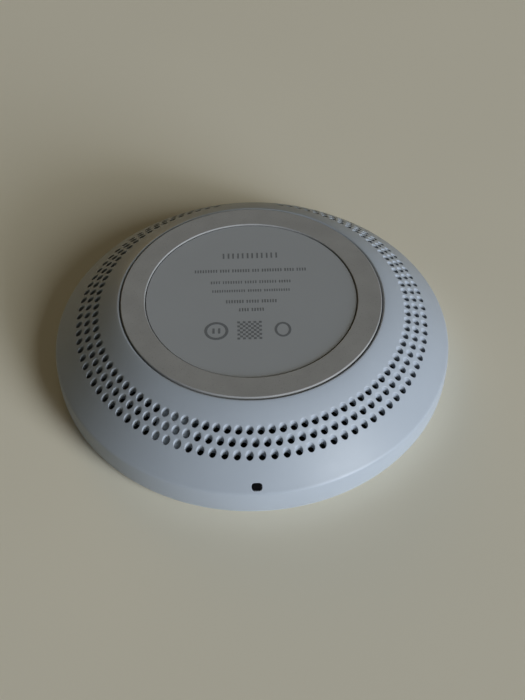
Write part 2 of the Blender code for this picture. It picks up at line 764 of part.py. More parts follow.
def make_charging_cover():
    """The cover with its rim, locating lip, grip groove, and posts and bosses for screws."""
    rim = PAD_RADIUS - COVER_RIM_SETBACK
    groove_inner = GRIP_INNER_RADIUS - FIT_GAP
    groove_outer = GRIP_INNER_RADIUS + GRIP_WIDTH + FIT_GAP
    groove_floor = GRIP_THICKNESS + FIT_GAP
    lip_inner = COVER_LIP_RADIUS - COVER_LIP_WIDTH
    lip_top = COVER_TOP + COVER_LIP_HEIGHT
    outline = [
        (0.0, COVER_TOP), (lip_inner, COVER_TOP), (lip_inner, lip_top),
        (COVER_LIP_RADIUS, lip_top), (COVER_LIP_RADIUS, COVER_SHELF), (rim, COVER_SHELF),
    ]
    for step in range(3):
        turn = math.radians(-45 * step)
        outline.append((
            rim - COVER_ROUNDING * (1 - math.cos(turn)),
            COVER_FACE + COVER_ROUNDING * (1 + math.sin(turn)),
        ))
    outline += [
        (groove_outer, COVER_FACE), (groove_outer, groove_floor), (groove_inner, groove_floor),
        (groove_inner, COVER_FACE), (0.0, COVER_FACE),
    ]
    cover = turned("charging_cover", outline, COVER_STEPS, COVER_WHITE)
    posts = rods("cover_posts", POST_RADIUS, COVER_TOP - POST_SINK, POST_TOP, post_places())
    boss_top = CARRIER_LOW - FIT_GAP
    bosses = rods(
        "cover_bosses", BOARD_BOSS_RADIUS, COVER_TOP - POST_SINK, boss_top, board_screw_places(),
    )
    post_pilots = rods(
        "post_pilots", PILOT_RADIUS, POST_TOP - PILOT_DEPTH, POST_TOP + PAST, post_places(),
        sides=SCREW_STEPS,
    )
    boss_pilots = rods(
        "boss_pilots", PILOT_RADIUS, COVER_TOP, boss_top + PAST, board_screw_places(),
        sides=SCREW_STEPS,
    )
    boolean(cover, "UNION", posts, bosses)
    boolean(cover, "DIFFERENCE", post_pilots, boss_pilots)
    turned(
        "grip_ring",
        ring_outline(GRIP_INNER_RADIUS, GRIP_INNER_RADIUS + GRIP_WIDTH, 0.0, GRIP_THICKNESS),
        PLATE_STEPS, GRIP_SILICONE,
    )


def make_case_screws():
    head_base = RECESS_FLOOR - CASE_SCREW_HEAD_HEIGHT - FIT_GAP / 2
    outline = screw_outline(
        CASE_SCREW_HEAD_RADIUS, CASE_SCREW_HEAD_HEIGHT, CASE_SCREW_RADIUS, CASE_SCREW_LENGTH
    )
    for number, (distance, angle) in enumerate(post_places(), 1):
        turned(
            f"case_screw_{number}", outline, SCREW_STEPS, STEEL,
            upright(distance, angle, head_base),
        )


def make_status_window():
    block(
        "status_window",
        (WINDOW_HEIGHT - 2 * WINDOW_GAP, WINDOW_WIDTH - 2 * WINDOW_GAP, WINDOW_LENGTH),
        window_spot(WINDOW_RECESS + WINDOW_LENGTH / 2), SMOKED,
        rounding=WINDOW_ROUNDING - WINDOW_GAP, along="Z",
    )
    block(
        "status_led", LED_SIZE,
        upright(BOARD_RADIUS - LED_FROM_EDGE, WINDOW_ANGLE, ON_BOARD + LED_SIZE[2] / 2), LAMP,
    )


# ---------------------------------------------------------------- coil stack


def coil_spiral():
    """The winding's solid: a flat strip wound from the inside out, as one spiral."""
    bm = bmesh.new()
    steps = int(COIL_TURNS * COIL_POINTS_PER_TURN)
    pitch = (COIL_OUTER_RADIUS - COIL_INNER_RADIUS - COIL_BAND_WIDTH) / COIL_TURNS
    width = min(COIL_BAND_WIDTH, pitch - FIT_GAP)
    rings = []
    for step in range(steps + 1):
        angle = COIL_LEAD_ANGLE + 360.0 * step / COIL_POINTS_PER_TURN
        radius = COIL_INNER_RADIUS + pitch * step / COIL_POINTS_PER_TURN
        rings.append([
            bm.verts.new(polar(radius + across, angle, height) * MM)
            for across, height in (
                (0.0, COIL_BOTTOM), (width, COIL_BOTTOM), (width, COIL_TOP), (0.0, COIL_TOP),
            )
        ])
    for before, after in zip(rings, rings[1:]):
        for k in range(4):
            bm.faces.new((before[k], before[k - 1], after[k - 1], after[k]))
    bm.faces.new(rings[0])
    bm.faces.new(list(reversed(rings[-1])))
    bmesh.ops.recalc_face_normals(bm, faces=bm.faces)
    return bm


def lead_slot(name, inner, outer, bottom, top):
    """A cutter for the gap that the coil's leads pass through."""
    middle = (inner + outer) / 2
    return block(
        name, (outer - inner, LEAD_SLOT_WIDTH, top - bottom),
        upright(middle, COIL_LEAD_ANGLE, (bottom + top) / 2),
    )


def make_coil_stack():
    add_object("coil_winding", mesh_from("coil_winding", coil_spiral()), COPPER)
    turned(
        "ferrite_disc", disc_outline(FERRITE_RADIUS, FERRITE_BOTTOM, FERRITE_TOP), PLATE_STEPS,
        FERRITE,
    )
    rim_inner = CARRIER_RIM_RADIUS - CARRIER_RIM_WIDTH
    carrier = turned(
        "coil_carrier",
        [
            (CARRIER_OPENING, CARRIER_TOP), (CARRIER_RADIUS, CARRIER_TOP),
            (CARRIER_RADIUS, CARRIER_LOW), (CARRIER_RIM_RADIUS, CARRIER_LOW),
            (CARRIER_RIM_RADIUS, COIL_BOTTOM), (rim_inner, COIL_BOTTOM),
            (rim_inner, CARRIER_LOW), (CARRIER_OPENING, CARRIER_LOW),
        ],
        PLATE_STEPS, CARRIER_PLASTIC,
    )
    spacers = rods(
        "carrier_spacers", BOARD_BOSS_RADIUS, CARRIER_LOW + POST_SINK, BOARD_BOTTOM - FIT_GAP,
        board_screw_places(),
    )
    post_holes = rods(
        "carrier_post_holes", POST_RADIUS + FIT_GAP, COIL_BOTTOM - PAST, CARRIER_TOP + PAST,
        post_places(),
    )
    screw_holes = rods(
        "carrier_screw_holes", PILOT_RADIUS, CARRIER_LOW - PAST, BOARD_BOTTOM + PAST,
        board_screw_places(), sides=SCREW_STEPS,
    )
    boolean(carrier, "UNION", spacers)
    slot = lead_slot(
        "carrier_lead_slot", rim_inner - PAST, CARRIER_RIM_RADIUS + LEAD_SLOT_LENGTH,
        COIL_BOTTOM - PAST, CARRIER_TOP + PAST,
    )
    boolean(carrier, "DIFFERENCE", post_holes, screw_holes, slot)
    turned(
        "thermal_pad", disc_outline(CARRIER_OPENING - FIT_GAP, CARRIER_LOW, CARRIER_TOP),
        PLATE_STEPS, SILICONE_PAD,
    )
    spreader = turned(
        "heat_spreader", disc_outline(SPREADER_RADIUS, SPREADER_BOTTOM, SPREADER_TOP),
        PLATE_STEPS, ALUMINIUM,
    )
    fan_pilots = rods(
        "spreader_pilots", FAN_SCREW_RADIUS + FIT_GAP, SPREADER_BOTTOM - PAST,
        SPREADER_TOP + PAST, ear_places(), sides=SCREW_STEPS,
    )
    boolean(spreader, "DIFFERENCE", fan_pilots)
    x, y, z = THERMISTOR_SIZE
    block("thermistor", (x, y, z), upright(0.0, 0.0, COIL_BOTTOM + z / 2), CHIP_RESIN)


# ---------------------------------------------------------------- main board


def make_main_board():
    board = turned(
        "main_board", ring_outline(BOARD_OPENING, BOARD_RADIUS, BOARD_BOTTOM, BOARD_TOP),
        PLATE_STEPS, BOARD_MASK,
    )
    below, above = BOARD_BOTTOM - PAST, BOARD_TOP + PAST
    holes = [
        rods("board_post_holes", POST_RADIUS + FIT_GAP, below, above, post_places()),
        rods(
            "board_screw_holes", PILOT_RADIUS, below, above, board_screw_places(),
            sides=SCREW_STEPS,
        ),
        rods(
            "board_fan_holes", FAN_SCREW_RADIUS + FIT_GAP, below, above, ear_places(),
            sides=SCREW_STEPS,
        ),
        lead_slot(
            "board_lead_slot", CARRIER_RIM_RADIUS, CARRIER_RIM_RADIUS + LEAD_SLOT_LENGTH,
            below, above,
        ),
        block(
            "board_socket_notch",
            (POCKET_WIDTH + 2 * (POCKET_WALL + FIT_GAP), 2 * BOARD_FROM_RIM, above - below),
            Matrix.Translation(Vector((
                0.0, POCKET_FLOOR - POCKET_WEB - FIT_GAP + BOARD_FROM_RIM, (below + above) / 2,
            )) * MM),
        ),
    ]
    boolean(board, "DIFFERENCE", *holes)
    head_base = BOARD_TOP + FIT_GAP / 2
    outline = screw_outline(
        BOARD_SCREW_HEAD_RADIUS, BOARD_SCREW_HEAD_HEIGHT, BOARD_SCREW_RADIUS, BOARD_SCREW_LENGTH
    )
    for number, (distance, angle) in enumerate(board_screw_places(), 1):
        turned(
            f"board_screw_{number}", outline, SCREW_STEPS, STEEL,
            upright(distance, angle, head_base),
        )


def make_board_parts():
    finishes = {"input": INDUCTOR_GREY, "resonant": CERAMIC, "fan": PLUG_NYLON}
    for name, size, distance, angle in BOARD_PARTS:
        finish = finishes.get(name.split("_")[0], CHIP_RESIN)
        block(name, size, upright(distance, angle, ON_BOARD + size[2] / 2), finish)


def make_cable_socket():
    """The USB-C receptacle: its metal shell, open to +Y, and the insulator with its tongue."""
    middle = SOCKET_MOUTH - SOCKET_DEPTH / 2
    shell = block(
        "usb_c_shell", (SOCKET_WIDTH, SOCKET_DEPTH, SOCKET_HEIGHT),
        Matrix.Translation(Vector((0.0, middle, SOCKET_MIDDLE)) * MM), STEEL,
        rounding=SOCKET_ROUNDING,
    )
    bore = block(
        "receptacle_bore",
        (SOCKET_WIDTH - 2 * SOCKET_WALL, SOCKET_DEPTH, SOCKET_HEIGHT - 2 * SOCKET_WALL),
        Matrix.Translation(Vector((0.0, middle + SOCKET_WALL, SOCKET_MIDDLE)) * MM),
        rounding=SOCKET_ROUNDING - SOCKET_WALL,
    )
    boolean(shell, "DIFFERENCE", bore)
    inner_width = SOCKET_WIDTH - 2 * (SOCKET_WALL + TAPE_GAP)
    inner_height = SOCKET_HEIGHT - 2 * (SOCKET_WALL + TAPE_GAP)
    back = SOCKET_MOUTH - SOCKET_DEPTH + SOCKET_WALL + TAPE_GAP
    tongue = block(
        "usb_c_tongue", (inner_width, SOCKET_BACK_DEPTH, inner_height),
        Matrix.Translation(Vector((0.0, back + SOCKET_BACK_DEPTH / 2, SOCKET_MIDDLE)) * MM),
        CHIP_RESIN, rounding=SOCKET_ROUNDING - SOCKET_WALL - TAPE_GAP,
    )
    length = SOCKET_BACK_DEPTH / 2 + TONGUE_LENGTH
    blade = block(
        "tongue_blade", (TONGUE_WIDTH, length, TONGUE_THICKNESS),
        Matrix.Translation(Vector((
            0.0, back + SOCKET_BACK_DEPTH / 2 + length / 2, SOCKET_MIDDLE,
        )) * MM),
    )
    boolean(tongue, "UNION", blade)


# ---------------------------------------------------------------- fan


def make_fan_frame():
    wall_inner = FAN_RADIUS - FAN_WALL
    frame = turned(
        "fan_frame",
        [
            (0.0, FAN_FLOOR), (wall_inner, FAN_FLOOR), (wall_inner, FAN_TOP),
            (FAN_RADIUS, FAN_TOP), (FAN_RADIUS, FAN_BOTTOM), (0.0, FAN_BOTTOM),
        ],
        FAN_STEPS, FAN_BLACK,
    )
    ear_top = ON_BOARD + FAN_EAR_THICKNESS
    ears = rods("frame_ears", FAN_EAR_RADIUS, ON_BOARD, ear_top, ear_places())
    arms = []
    reach = FAN_EAR_REACH + FAN_WALL / 2
    for number, angle in enumerate(FAN_EAR_ANGLES, 1):
        arms.append(block(
            f"frame_arm_{number}", (reach, FAN_ARM_WIDTH, FAN_EAR_THICKNESS),
            upright(FAN_EAR_CIRCLE - reach / 2, angle, ON_BOARD + FAN_EAR_THICKNESS / 2),
        ))
    boolean(frame, "UNION", ears, *arms)
    outlet = block(
        "outlet_cutter", (FAN_RADIUS, FAN_OUTLET_WIDTH, FAN_HEIGHT),
        upright(FAN_RADIUS, FAN_OUTLET_ANGLE, FAN_FLOOR + FIT_GAP + FAN_HEIGHT / 2),
    )
    ear_holes = rods(
        "ear_holes", FAN_SCREW_RADIUS + FIT_GAP, ON_BOARD - PAST, ear_top + PAST, ear_places(),
        sides=SCREW_STEPS,
    )
    boolean(frame, "DIFFERENCE", outlet, ear_holes)
    cover_bottom = FAN_TOP + FIT_GAP
    turned(
        "fan_cover",
        ring_outline(
            FAN_INLET_RADIUS, FAN_RADIUS, cover_bottom, cover_bottom + FAN_COVER_THICKNESS
        ),
        FAN_STEPS, FAN_BLACK,
    )
    outline = screw_outline(
        FAN_SCREW_HEAD_RADIUS, FAN_SCREW_HEAD_HEIGHT, FAN_SCREW_RADIUS, FAN_SCREW_LENGTH
    )
    for number, (distance, angle) in enumerate(ear_places(), 1):
        turned(
            f"fan_screw_{number}", outline, SCREW_STEPS, STEEL,
            upright(distance, angle, ear_top + FIT_GAP / 2),
        )


def make_fan_motor():
    bearing_radius = SHAFT_RADIUS + RUNNING_GAP + BEARING_WALL
    bearing_bottom = FAN_FLOOR + FIT_GAP
    turned(
        "fan_bearing",
        ring_outline(
            SHAFT_RADIUS + RUNNING_GAP, bearing_radius, bearing_bottom,
            bearing_bottom + BEARING_HEIGHT,
        ),
        SMALL_STEPS, BRONZE,
    )
    magnet_outer = ROTOR_HUB_RADIUS - ROTOR_HUB_WALL - FIT_GAP
    magnet_inner = magnet_outer - MAGNET_THICKNESS
    stator_inner = bearing_radius + FIT_GAP
    stator_bottom = ROTOR_BOTTOM
    stator_top = stator_bottom + STATOR_HEIGHT
    stator = turned(
        "fan_stator",
        ring_outline(stator_inner, stator_inner + STATOR_RING_WIDTH, stator_bottom, stator_top),
        SMALL_STEPS, COPPER,
    )
    pole_outer = magnet_inner - STATOR_AIR_GAP
    pole_inner = stator_inner + STATOR_RING_WIDTH / 2
    for pole in range(STATOR_POLES):
        arm = block(
            f"stator_pole_{pole + 1}",
            (pole_outer - pole_inner, STATOR_POLE_WIDTH, STATOR_POLE_HEIGHT),
            upright(
                (pole_outer + pole_inner) / 2, pole * 360.0 / STATOR_POLES,
                (stator_bottom + stator_top) / 2,
            ),
        )
        boolean(stator, "UNION", arm)
    return magnet_inner, magnet_outer


def make_fan_rotor(magnet_inner, magnet_outer):
    """The turning pieces: the bladed hub, its magnet ring and its shaft."""
    hub_inner = ROTOR_HUB_RADIUS - ROTOR_HUB_WALL
    rotor = turned(
        "fan_rotor",
        [
            (0.0, ROTOR_TOP), (ROTOR_HUB_RADIUS - ROTOR_HUB_CHAMFER, ROTOR_TOP),
            (ROTOR_HUB_RADIUS, ROTOR_TOP - ROTOR_HUB_CHAMFER), (ROTOR_HUB_RADIUS, ROTOR_BOTTOM),
            (hub_inner, ROTOR_BOTTOM), (hub_inner, HUB_CEILING), (0.0, HUB_CEILING),
        ],
        FAN_STEPS, FAN_BLACK,
    )
    bm = bmesh.new()
    start = ROTOR_HUB_RADIUS - ROTOR_HUB_WALL / 2
    sweep = math.radians(BLADE_SWEEP)
    across = start * math.sin(sweep)
    length = math.sqrt(ROTOR_RADIUS**2 - across**2) - start * math.cos(sweep)
    height = ROTOR_TOP - ROTOR_BOTTOM - 2 * BLADE_SETBACK
    size = Matrix.Diagonal((length * MM, BLADE_THICKNESS * MM, height * MM, 1.0))
    reach = Matrix.Translation(Vector((length / 2 * MM, 0.0, 0.0)))
    for blade in range(ROTOR_BLADES):
        angle = blade * 360.0 / ROTOR_BLADES
        root = upright(start, angle, (ROTOR_TOP + ROTOR_BOTTOM) / 2)
        swept = root @ Matrix.Rotation(sweep, 4, "Z")
        bmesh.ops.create_cube(bm, size=1.0, matrix=swept @ reach @ size)
    blades = add_object("rotor_blades", mesh_from("rotor_blades", bm))
    boolean(rotor, "UNION", blades)
    magnet_top = HUB_CEILING - FIT_GAP
    turned(
        "rotor_magnet",
        ring_outline(magnet_inner, magnet_outer, magnet_top - MAGNET_HEIGHT, magnet_top),
        FAN_STEPS, MAGNET,
    )
    turned(
        "rotor_shaft", disc_outline(SHAFT_RADIUS, FAN_FLOOR + FIT_GAP, HUB_CEILING - FIT_GAP),
        SMALL_STEPS, STEEL,
    )


# ---------------------------------------------------------------- wires


def make_wires():
    slot_middle = CARRIER_RIM_RADIUS + LEAD_SLOT_LENGTH / 2
    for name, side in (("coil_lead_1", -0.5), ("coil_lead_2", 0.5)):
        angle = COIL_LEAD_ANGLE + math.degrees(side * COIL_LEAD_SPREAD / slot_middle)
        route = [
            polar(COIL_OUTER_RADIUS + COIL_LEAD_START, angle, (COIL_BOTTOM + COIL_TOP) / 2),
            polar(CARRIER_RIM_RADIUS - COIL_LEAD_FROM_RIM, angle, (COVER_TOP + CARRIER_LOW) / 2),
            polar(slot_middle, angle, CARRIER_LOW),
            polar(slot_middle, angle, BOARD_TOP),
        ]
        route += [polar(slot_middle + out, angle, ON_BOARD + up) for out, up in COIL_LEAD_BENDS]
        wire(name, route, COIL_LEAD_RADIUS, WIRE_SLEEVE)
    socket_size, socket_distance, socket_angle = next(
        (size, distance, angle) for name, size, distance, angle in BOARD_PARTS
        if name == "fan_socket"
    )
    height = ON_BOARD + socket_size[2] / 2
    edge = socket_distance - socket_size[0] / 2 - FIT_GAP
    route = [
        polar(edge - inward, socket_angle - back, height - drop)
        for inward, back, drop in FAN_LEAD_BENDS
    ]
    back, drop = FAN_LEAD_LANDING
    landing = FAN_RADIUS + FAN_LEAD_RADIUS + FIT_GAP
    route.append(polar(landing, socket_angle - back, height - drop))
    wire("fan_lead", route, FAN_LEAD_RADIUS, WIRE_SLEEVE)


make_bottom_case()
make_underside_trim()
make_charging_cover()
make_case_screws()
make_status_window()
make_coil_stack()
make_main_board()
make_board_parts()
make_cable_socket()
make_fan_frame()
make_fan_rotor(*make_fan_motor())
make_wires()
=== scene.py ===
"""The looks of the wireless charging pad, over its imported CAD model.

The outer pieces are made again with fine surfaces: the case with its round vents, the foot ring,
the label plate and its print, the charging cover, its grip ring and the status window. The pieces
inside keep their CAD meshes. Every piece gets a material built from shader nodes.
Sizes are in millimetres and angles in degrees, in the CAD model's frame. MM turns the sizes
into metres.
"""

import math

import bmesh
import bpy
from mathutils import Matrix, Vector


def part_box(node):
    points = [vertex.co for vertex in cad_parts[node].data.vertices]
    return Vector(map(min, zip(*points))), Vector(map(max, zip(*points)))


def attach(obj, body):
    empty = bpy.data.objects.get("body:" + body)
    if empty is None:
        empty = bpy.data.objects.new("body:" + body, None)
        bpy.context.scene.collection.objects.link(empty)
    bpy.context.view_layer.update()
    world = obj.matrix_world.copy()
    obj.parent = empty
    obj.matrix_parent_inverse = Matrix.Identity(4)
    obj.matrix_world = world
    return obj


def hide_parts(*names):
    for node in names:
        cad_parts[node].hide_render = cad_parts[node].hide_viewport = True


MM = 0.001
HOUSING = "housing"

# The case, the foot ring and the label. Their edges and gaps are finer than the CAD's,
# and stay inside its box
WALL = 1.5
RECESS_RADIUS = 32.4
RECESS_FLOOR = 19.1
CEILING = 17.2
LIP_ROUNDING = 0.55
LIP_SLOPE = 22.0
CREASE_SLOPE = 44.5
CREASE_RADIUS = 49.6
CREASE_HEIGHT = 7.95
CREASE_SOFTNESS = 0.025
CREASE_CORNER_INSET = (0.05, 0.1)
BAND_TOP = (49.88, 7.4)
BAND_FOOT_SETBACK = 0.15
BAND_FOOT_ROUNDING = 0.7
FOOT_WIDTH = 6.0
FOOT_ROUNDING = 0.25
LABEL_ROUNDING = 0.1

# Vents
VENT_PITCHES = 96
VENT_RADIUS = 0.875
VENT_ROUNDING = 0.11
VENT_FLARE_STEPS = 3
VENT_MOUTH_GROWTH = 1.05
VENT_ROW_RADII = (43.2, 40.95, 38.7)
VENT_FREE_ANGLE = 10.2
VENT_DEPTH = 4.5
VENT_SIDES = 24
RIB_ANGLE = 242.0
RIB_WIDTH = 8.4
RIB_RADII = (36.65, 45.25)
RIB_COVER = 1.3
RIB_BOTTOM = 9.0
RIB_ROUNDING = 0.3
RIB_STRIP_DEPTH = 36.0

# Screws' bosses, and the cable socket's pocket
POST_RADIUS = 2.7
POST_CIRCLE = 29.3
POST_ANGLES = (45.0, 135.0, 225.0, 315.0)
POST_TOP = 15.9
PILOT_RADIUS = 1.25
PILOT_DEPTH = 10.0
BOSS_RADIUS = 3.4
BOSS_BOTTOM = 16.2
HEAD_HOLE_RADIUS = 2.3
HEAD_HOLE_FLOOR = 17.7
SHANK_HOLE_RADIUS = 1.25
SHANK_OVERLAP = 0.3
SOCKET_MIDDLE = 9.68
SOCKET_OPENING = (9.54, 3.86)
SOCKET_OPENING_ROUNDING = 1.6
POCKET_FLOOR = 42.1
POCKET_SIZE = (12.4, 7.0)
POCKET_ROUNDING = 2.0
POCKET_WEB = 1.2
POCKET_WALL = 0.8
POCKET_WALL_ROUNDING = 0.2
POCKET_WALLS_REACH = 48.0
POCKET_SKIN = 0.5

# Status window
WINDOW_RADIUS = 48.5
WINDOW_SIZE = (2.4, 1.8)
WINDOW_ROUNDING = 0.7
WINDOW_EDGE = 0.1
WINDOW_FLARE_DEPTH = 1.0
WINDOW_FLARE_ROUNDING = 0.098
WINDOW_GAP = 0.15
WINDOW_RECESS = 0.25
WINDOW_LENGTH = 2.0
WINDOW_FACE_ROUNDING = 0.1

# Charging cover
COVER_TOP = 1.85
COVER_SHELF = 0.85
COVER_ROUNDING = 0.4
COVER_LIP_RADII = (46.95, 48.05)
COVER_LIP_TOP = 4.15
GRIP_INNER_RADIUS = 31.0
GRIP_ROUNDING = 0.2
GRIP_GAP = 0.3
BOARD_BOSS_RADIUS = 2.4
BOARD_BOSS_CIRCLE = 36.5
BOARD_BOSS_ANGLES = (30.0, 150.0, 270.0)
BOARD_BOSS_TOP = 4.15
POST_SINK = 0.4

# How finely the round pieces are made
TURNED_STEPS = 192
FLANK_STEPS = 24
ROUNDING_STEPS = 6
ROD_SIDES = 48
CORNER_STEPS = 8
EDGE_STEPS = 3
EDGE_ANGLE = 60.0
SHARP_ANGLE = 50.0
FLANK_TOLERANCE = 0.000001

# How far a cutter reaches past what it cuts
PAST = 1.0

# Board's looks: the size of a patch whose tracks run one way, the tracks, and the vias' spacing
BOARD_PATCH = 8.0
TRACK_PITCH = 0.7
TRACK_WIDTH = 0.22
VIA_PITCH = 3.1

# Contacts on the socket's tongue: how far they reach across it, and where they start and end
CONTACT_PITCH = 0.5
CONTACT_WIDTH = 0.28
CONTACT_REACH = 2.9
CONTACT_ENDS = (37.6, 41.0)

# Print on the label: plain strokes and shapes. Each row is its height up the plate, its strokes'
# height, their width, the space between them, and how many strokes there are in each group
PRINT_THICKNESS = 0.01
PRINT_LIFT = 0.004
PRINT_GROUP_SPACE = 0.75
PRINT_ROWS = (
    (14.6, 1.9, 0.42, 0.85, (2, 2, 2, 2, 2, 2)),
    (9.2, 1.05, 0.34, 0.32, (9, 4, 7, 3, 8, 4, 4)),
    (5.1, 0.95, 0.30, 0.34, (4, 8, 5, 7, 5)),
    (2.1, 0.85, 0.30, 0.30, (14, 6, 11)),
    (-1.6, 1.05, 0.34, 0.32, (7, 5, 6)),
    (-4.4, 1.05, 0.34, 0.32, (4, 5)),
)

# Marks under the rows. The ring and the oval: place across the plate, half width, line width.
# The ticks in the ring: width, height and where each starts from the ring's middle.
# The checkered square: place across the plate, size, and cells along a side
PRINT_MARK_HEIGHT = -11.2
PRINT_RING = (-8.6, 2.9, 0.7)
PRINT_RING_SIDES = 64
PRINT_TICKS = (0.55, 1.7, (-0.95, 0.4))
PRINT_SQUARE = (-0.6, 5.9, 9)
PRINT_CELL_FILL = 0.96
PRINT_OVAL = (7.4, 2.0, 0.6)
PRINT_OVAL_STRETCH = 1.2

# Camera: place and lens in millimetres, angles in degrees, nearest distance in metres
CAMERA_PLACE = (-1.08, -188.0, 213.6)
CAMERA_DOWN = 48.55
CAMERA_YAW = 1.13
CAMERA_ROLL = -0.72
CAMERA_LENS = 56.06
CAMERA_SENSOR = 36.0
CAMERA_NEAREST = 0.01

# Lights: name, direction round the pad and above it in degrees, distance and size in metres,
# power in watts and colour. The floor's size is in metres
LIGHTS = (
    ("window_low", -47.0, 8.0, 8.0, 3.84, 685.0, (0.79, 0.86, 1.0)),
    ("window_high", -42.0, 27.0, 8.0, 3.84, 308.0, (0.97, 1.0, 0.97)),
    ("room_fill", 110.0, 20.0, 8.0, 3.84, 60.0, (1.0, 0.70, 0.30)),
)
WORLD_COLOR = (1.0, 0.93, 0.72)
WORLD_STRENGTH = 0.06
FLOOR_SIZE = 4.0
FLOOR_SEGMENTS = 8


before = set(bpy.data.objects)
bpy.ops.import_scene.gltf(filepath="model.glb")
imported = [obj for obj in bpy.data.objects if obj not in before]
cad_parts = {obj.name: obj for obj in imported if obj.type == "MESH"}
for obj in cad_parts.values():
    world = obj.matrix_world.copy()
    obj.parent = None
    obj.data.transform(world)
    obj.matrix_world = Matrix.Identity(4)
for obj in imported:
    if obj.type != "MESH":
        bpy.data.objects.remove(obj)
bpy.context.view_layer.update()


def corner(node, end):
    """A corner of a CAD node's box in millimetres: end 0 is the lowest, and 1 the highest."""
    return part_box(node)[end] / MM


PAD_RADIUS = corner("bottom_case", 1).x
CASE_BOTTOM = corner("bottom_case", 0).z
LIP_TOP = corner("bottom_case", 1).z
FOOT_OUTER_RADIUS = corner("foot_ring", 1).x
FOOT_BOTTOM = corner("foot_ring", 0).z
FOOT_TOP = corner("foot_ring", 1).z
LABEL_RADIUS = corner("label_plate", 1).x
LABEL_TOP = corner("label_plate", 1).z
COVER_RADIUS = corner("charging_cover", 1).x
COVER_FACE = corner("charging_cover", 0).z
GRIP_OUTER_RADIUS = corner("grip_ring", 1).x
GRIP_TOP = corner("grip_ring", 1).z


# ---------------------------------------------------------------- shader nodes


class Shader:
    """A Principled material under construction, with short calls for the nodes it uses."""

    def __init__(self, name, roughness, metallic=0.0, specular=0.5):
        self.material = bpy.data.materials.new(name)
        self.material.use_nodes = True
        self.tree = self.material.node_tree
        self.principled = self.tree.nodes["Principled BSDF"]
        self.principled.inputs["Metallic"].default_value = metallic
        self.principled.inputs["Roughness"].default_value = roughness
        self.principled.inputs["Specular IOR Level"].default_value = specular
        self.roughness = roughness
        self.place = self.add("ShaderNodeTexCoord").outputs["Object"]

    def add(self, kind, **values):
        node = self.tree.nodes.new(kind)
        for key, value in values.items():
            setattr(node, key, value)
        return node

    def link(self, source, target):
        self.tree.links.new(source, target)

    def stretched(self, scale):
        """The object's own coordinates, stretched by a factor along each axis."""
        mapping = self.add("ShaderNodeMapping")
        mapping.inputs["Scale"].default_value = scale
        self.link(self.place, mapping.inputs["Vector"])
        return mapping.outputs["Vector"]

    def noise(self, size, detail, vector=None):
        """Noise from 0 to 1, with features of about a size in millimetres."""
        node = self.add("ShaderNodeTexNoise")
        node.inputs["Scale"].default_value = 1.0 / (size * MM)
        node.inputs["Detail"].default_value = detail
        self.link(vector or self.place, node.inputs["Vector"])
        return node.outputs["Fac"]

    def ramp(self, value, *stops):
        """A colour ramp through (position, colour or grey) stops."""
        node = self.add("ShaderNodeValToRGB")
        while len(node.color_ramp.elements) < len(stops):
            node.color_ramp.elements.new(0.5)
        for element, (position, color) in zip(node.color_ramp.elements, stops):
            element.position = position
            grey = isinstance(color, (int, float))
            element.color = (color, color, color, 1.0) if grey else (*color, 1.0)
        self.link(value, node.inputs["Fac"])
        return node.outputs["Color"]

    def drifting(self, color, size, detail, low, high):
        """A colour that drifts between two shades of itself over a size in millimetres."""
        drift = self.noise(size, detail)
        return self.ramp(drift, (0.3, shade(color, low)), (0.7, shade(color, high)))

    def mix(self, share, first, second):
        """Two colours mixed. Each is a socket or three numbers, and share a socket or a number."""
        node = self.add("ShaderNodeMix", data_type="RGBA")
        for socket, value in zip((node.inputs[0], node.inputs[6], node.inputs[7]),
                                 (share, first, second)):
            if isinstance(value, bpy.types.NodeSocket):
                self.link(value, socket)
            elif isinstance(value, (int, float)):
                socket.default_value = value
            else:
                socket.default_value = (*value, 1.0)
        return node.outputs[2]

    def specked(self, base, color, amount, size, detail, spread):
        """A base colour with specks: they start at spread's first noise value, full at its second."""
        specks = self.ramp(self.noise(size, detail), (spread[0], 0.0), (spread[1], 1.0))
        return self.mix(self.math("MULTIPLY", specks, amount), base, color)

    def math(self, operation, first, second=0.0, third=0.0):
        node = self.add("ShaderNodeMath", operation=operation)
        for socket, value in zip(node.inputs, (first, second, third)):
            if isinstance(value, bpy.types.NodeSocket):
                self.link(value, socket)
            else:
                socket.default_value = value
        return node.outputs["Value"]

    def axes(self):
        """The object's own X, Y and Z, in metres."""
        node = self.add("ShaderNodeSeparateXYZ")
        self.link(self.place, node.inputs["Vector"])
        return node.outputs["X"], node.outputs["Y"], node.outputs["Z"]

    def color(self, value):
        self.link(value, self.principled.inputs["Base Color"])

    def rough(self, value, swing):
        """Roughness that follows a 0 to 1 value, round the material's own roughness."""
        low = max(0.02, self.roughness - swing)
        scaled = self.math("MULTIPLY_ADD", value, 2 * swing, low)
        self.link(scaled, self.principled.inputs["Roughness"])

    def bump(self, height, depth):
        """Relief of a depth in millimetres."""
        node = self.add("ShaderNodeBump")
        node.inputs["Distance"].default_value = depth * MM
        node.inputs["Strength"].default_value = 1.0
        self.link(height, node.inputs["Height"])
        self.link(node.outputs["Normal"], self.principled.inputs["Normal"])


def shade(color, factor):
    """A colour made lighter or darker."""
    return tuple(channel * factor for channel in color)


def moulded(name, color, roughness, grain=0.18, depth=0.006, drift=0.04, specular=0.5):
    """Moulded plastic: a fine satin texture, and a colour that drifts a little."""
    made = Shader(name, roughness, specular=specular)
    made.color(made.drifting(color, 14.0, 3.0, 1 - drift, 1 + drift))
    made.rough(made.noise(2.2, 4.0), 0.06)
    made.bump(made.noise(grain, 2.0), depth)
    return made.material


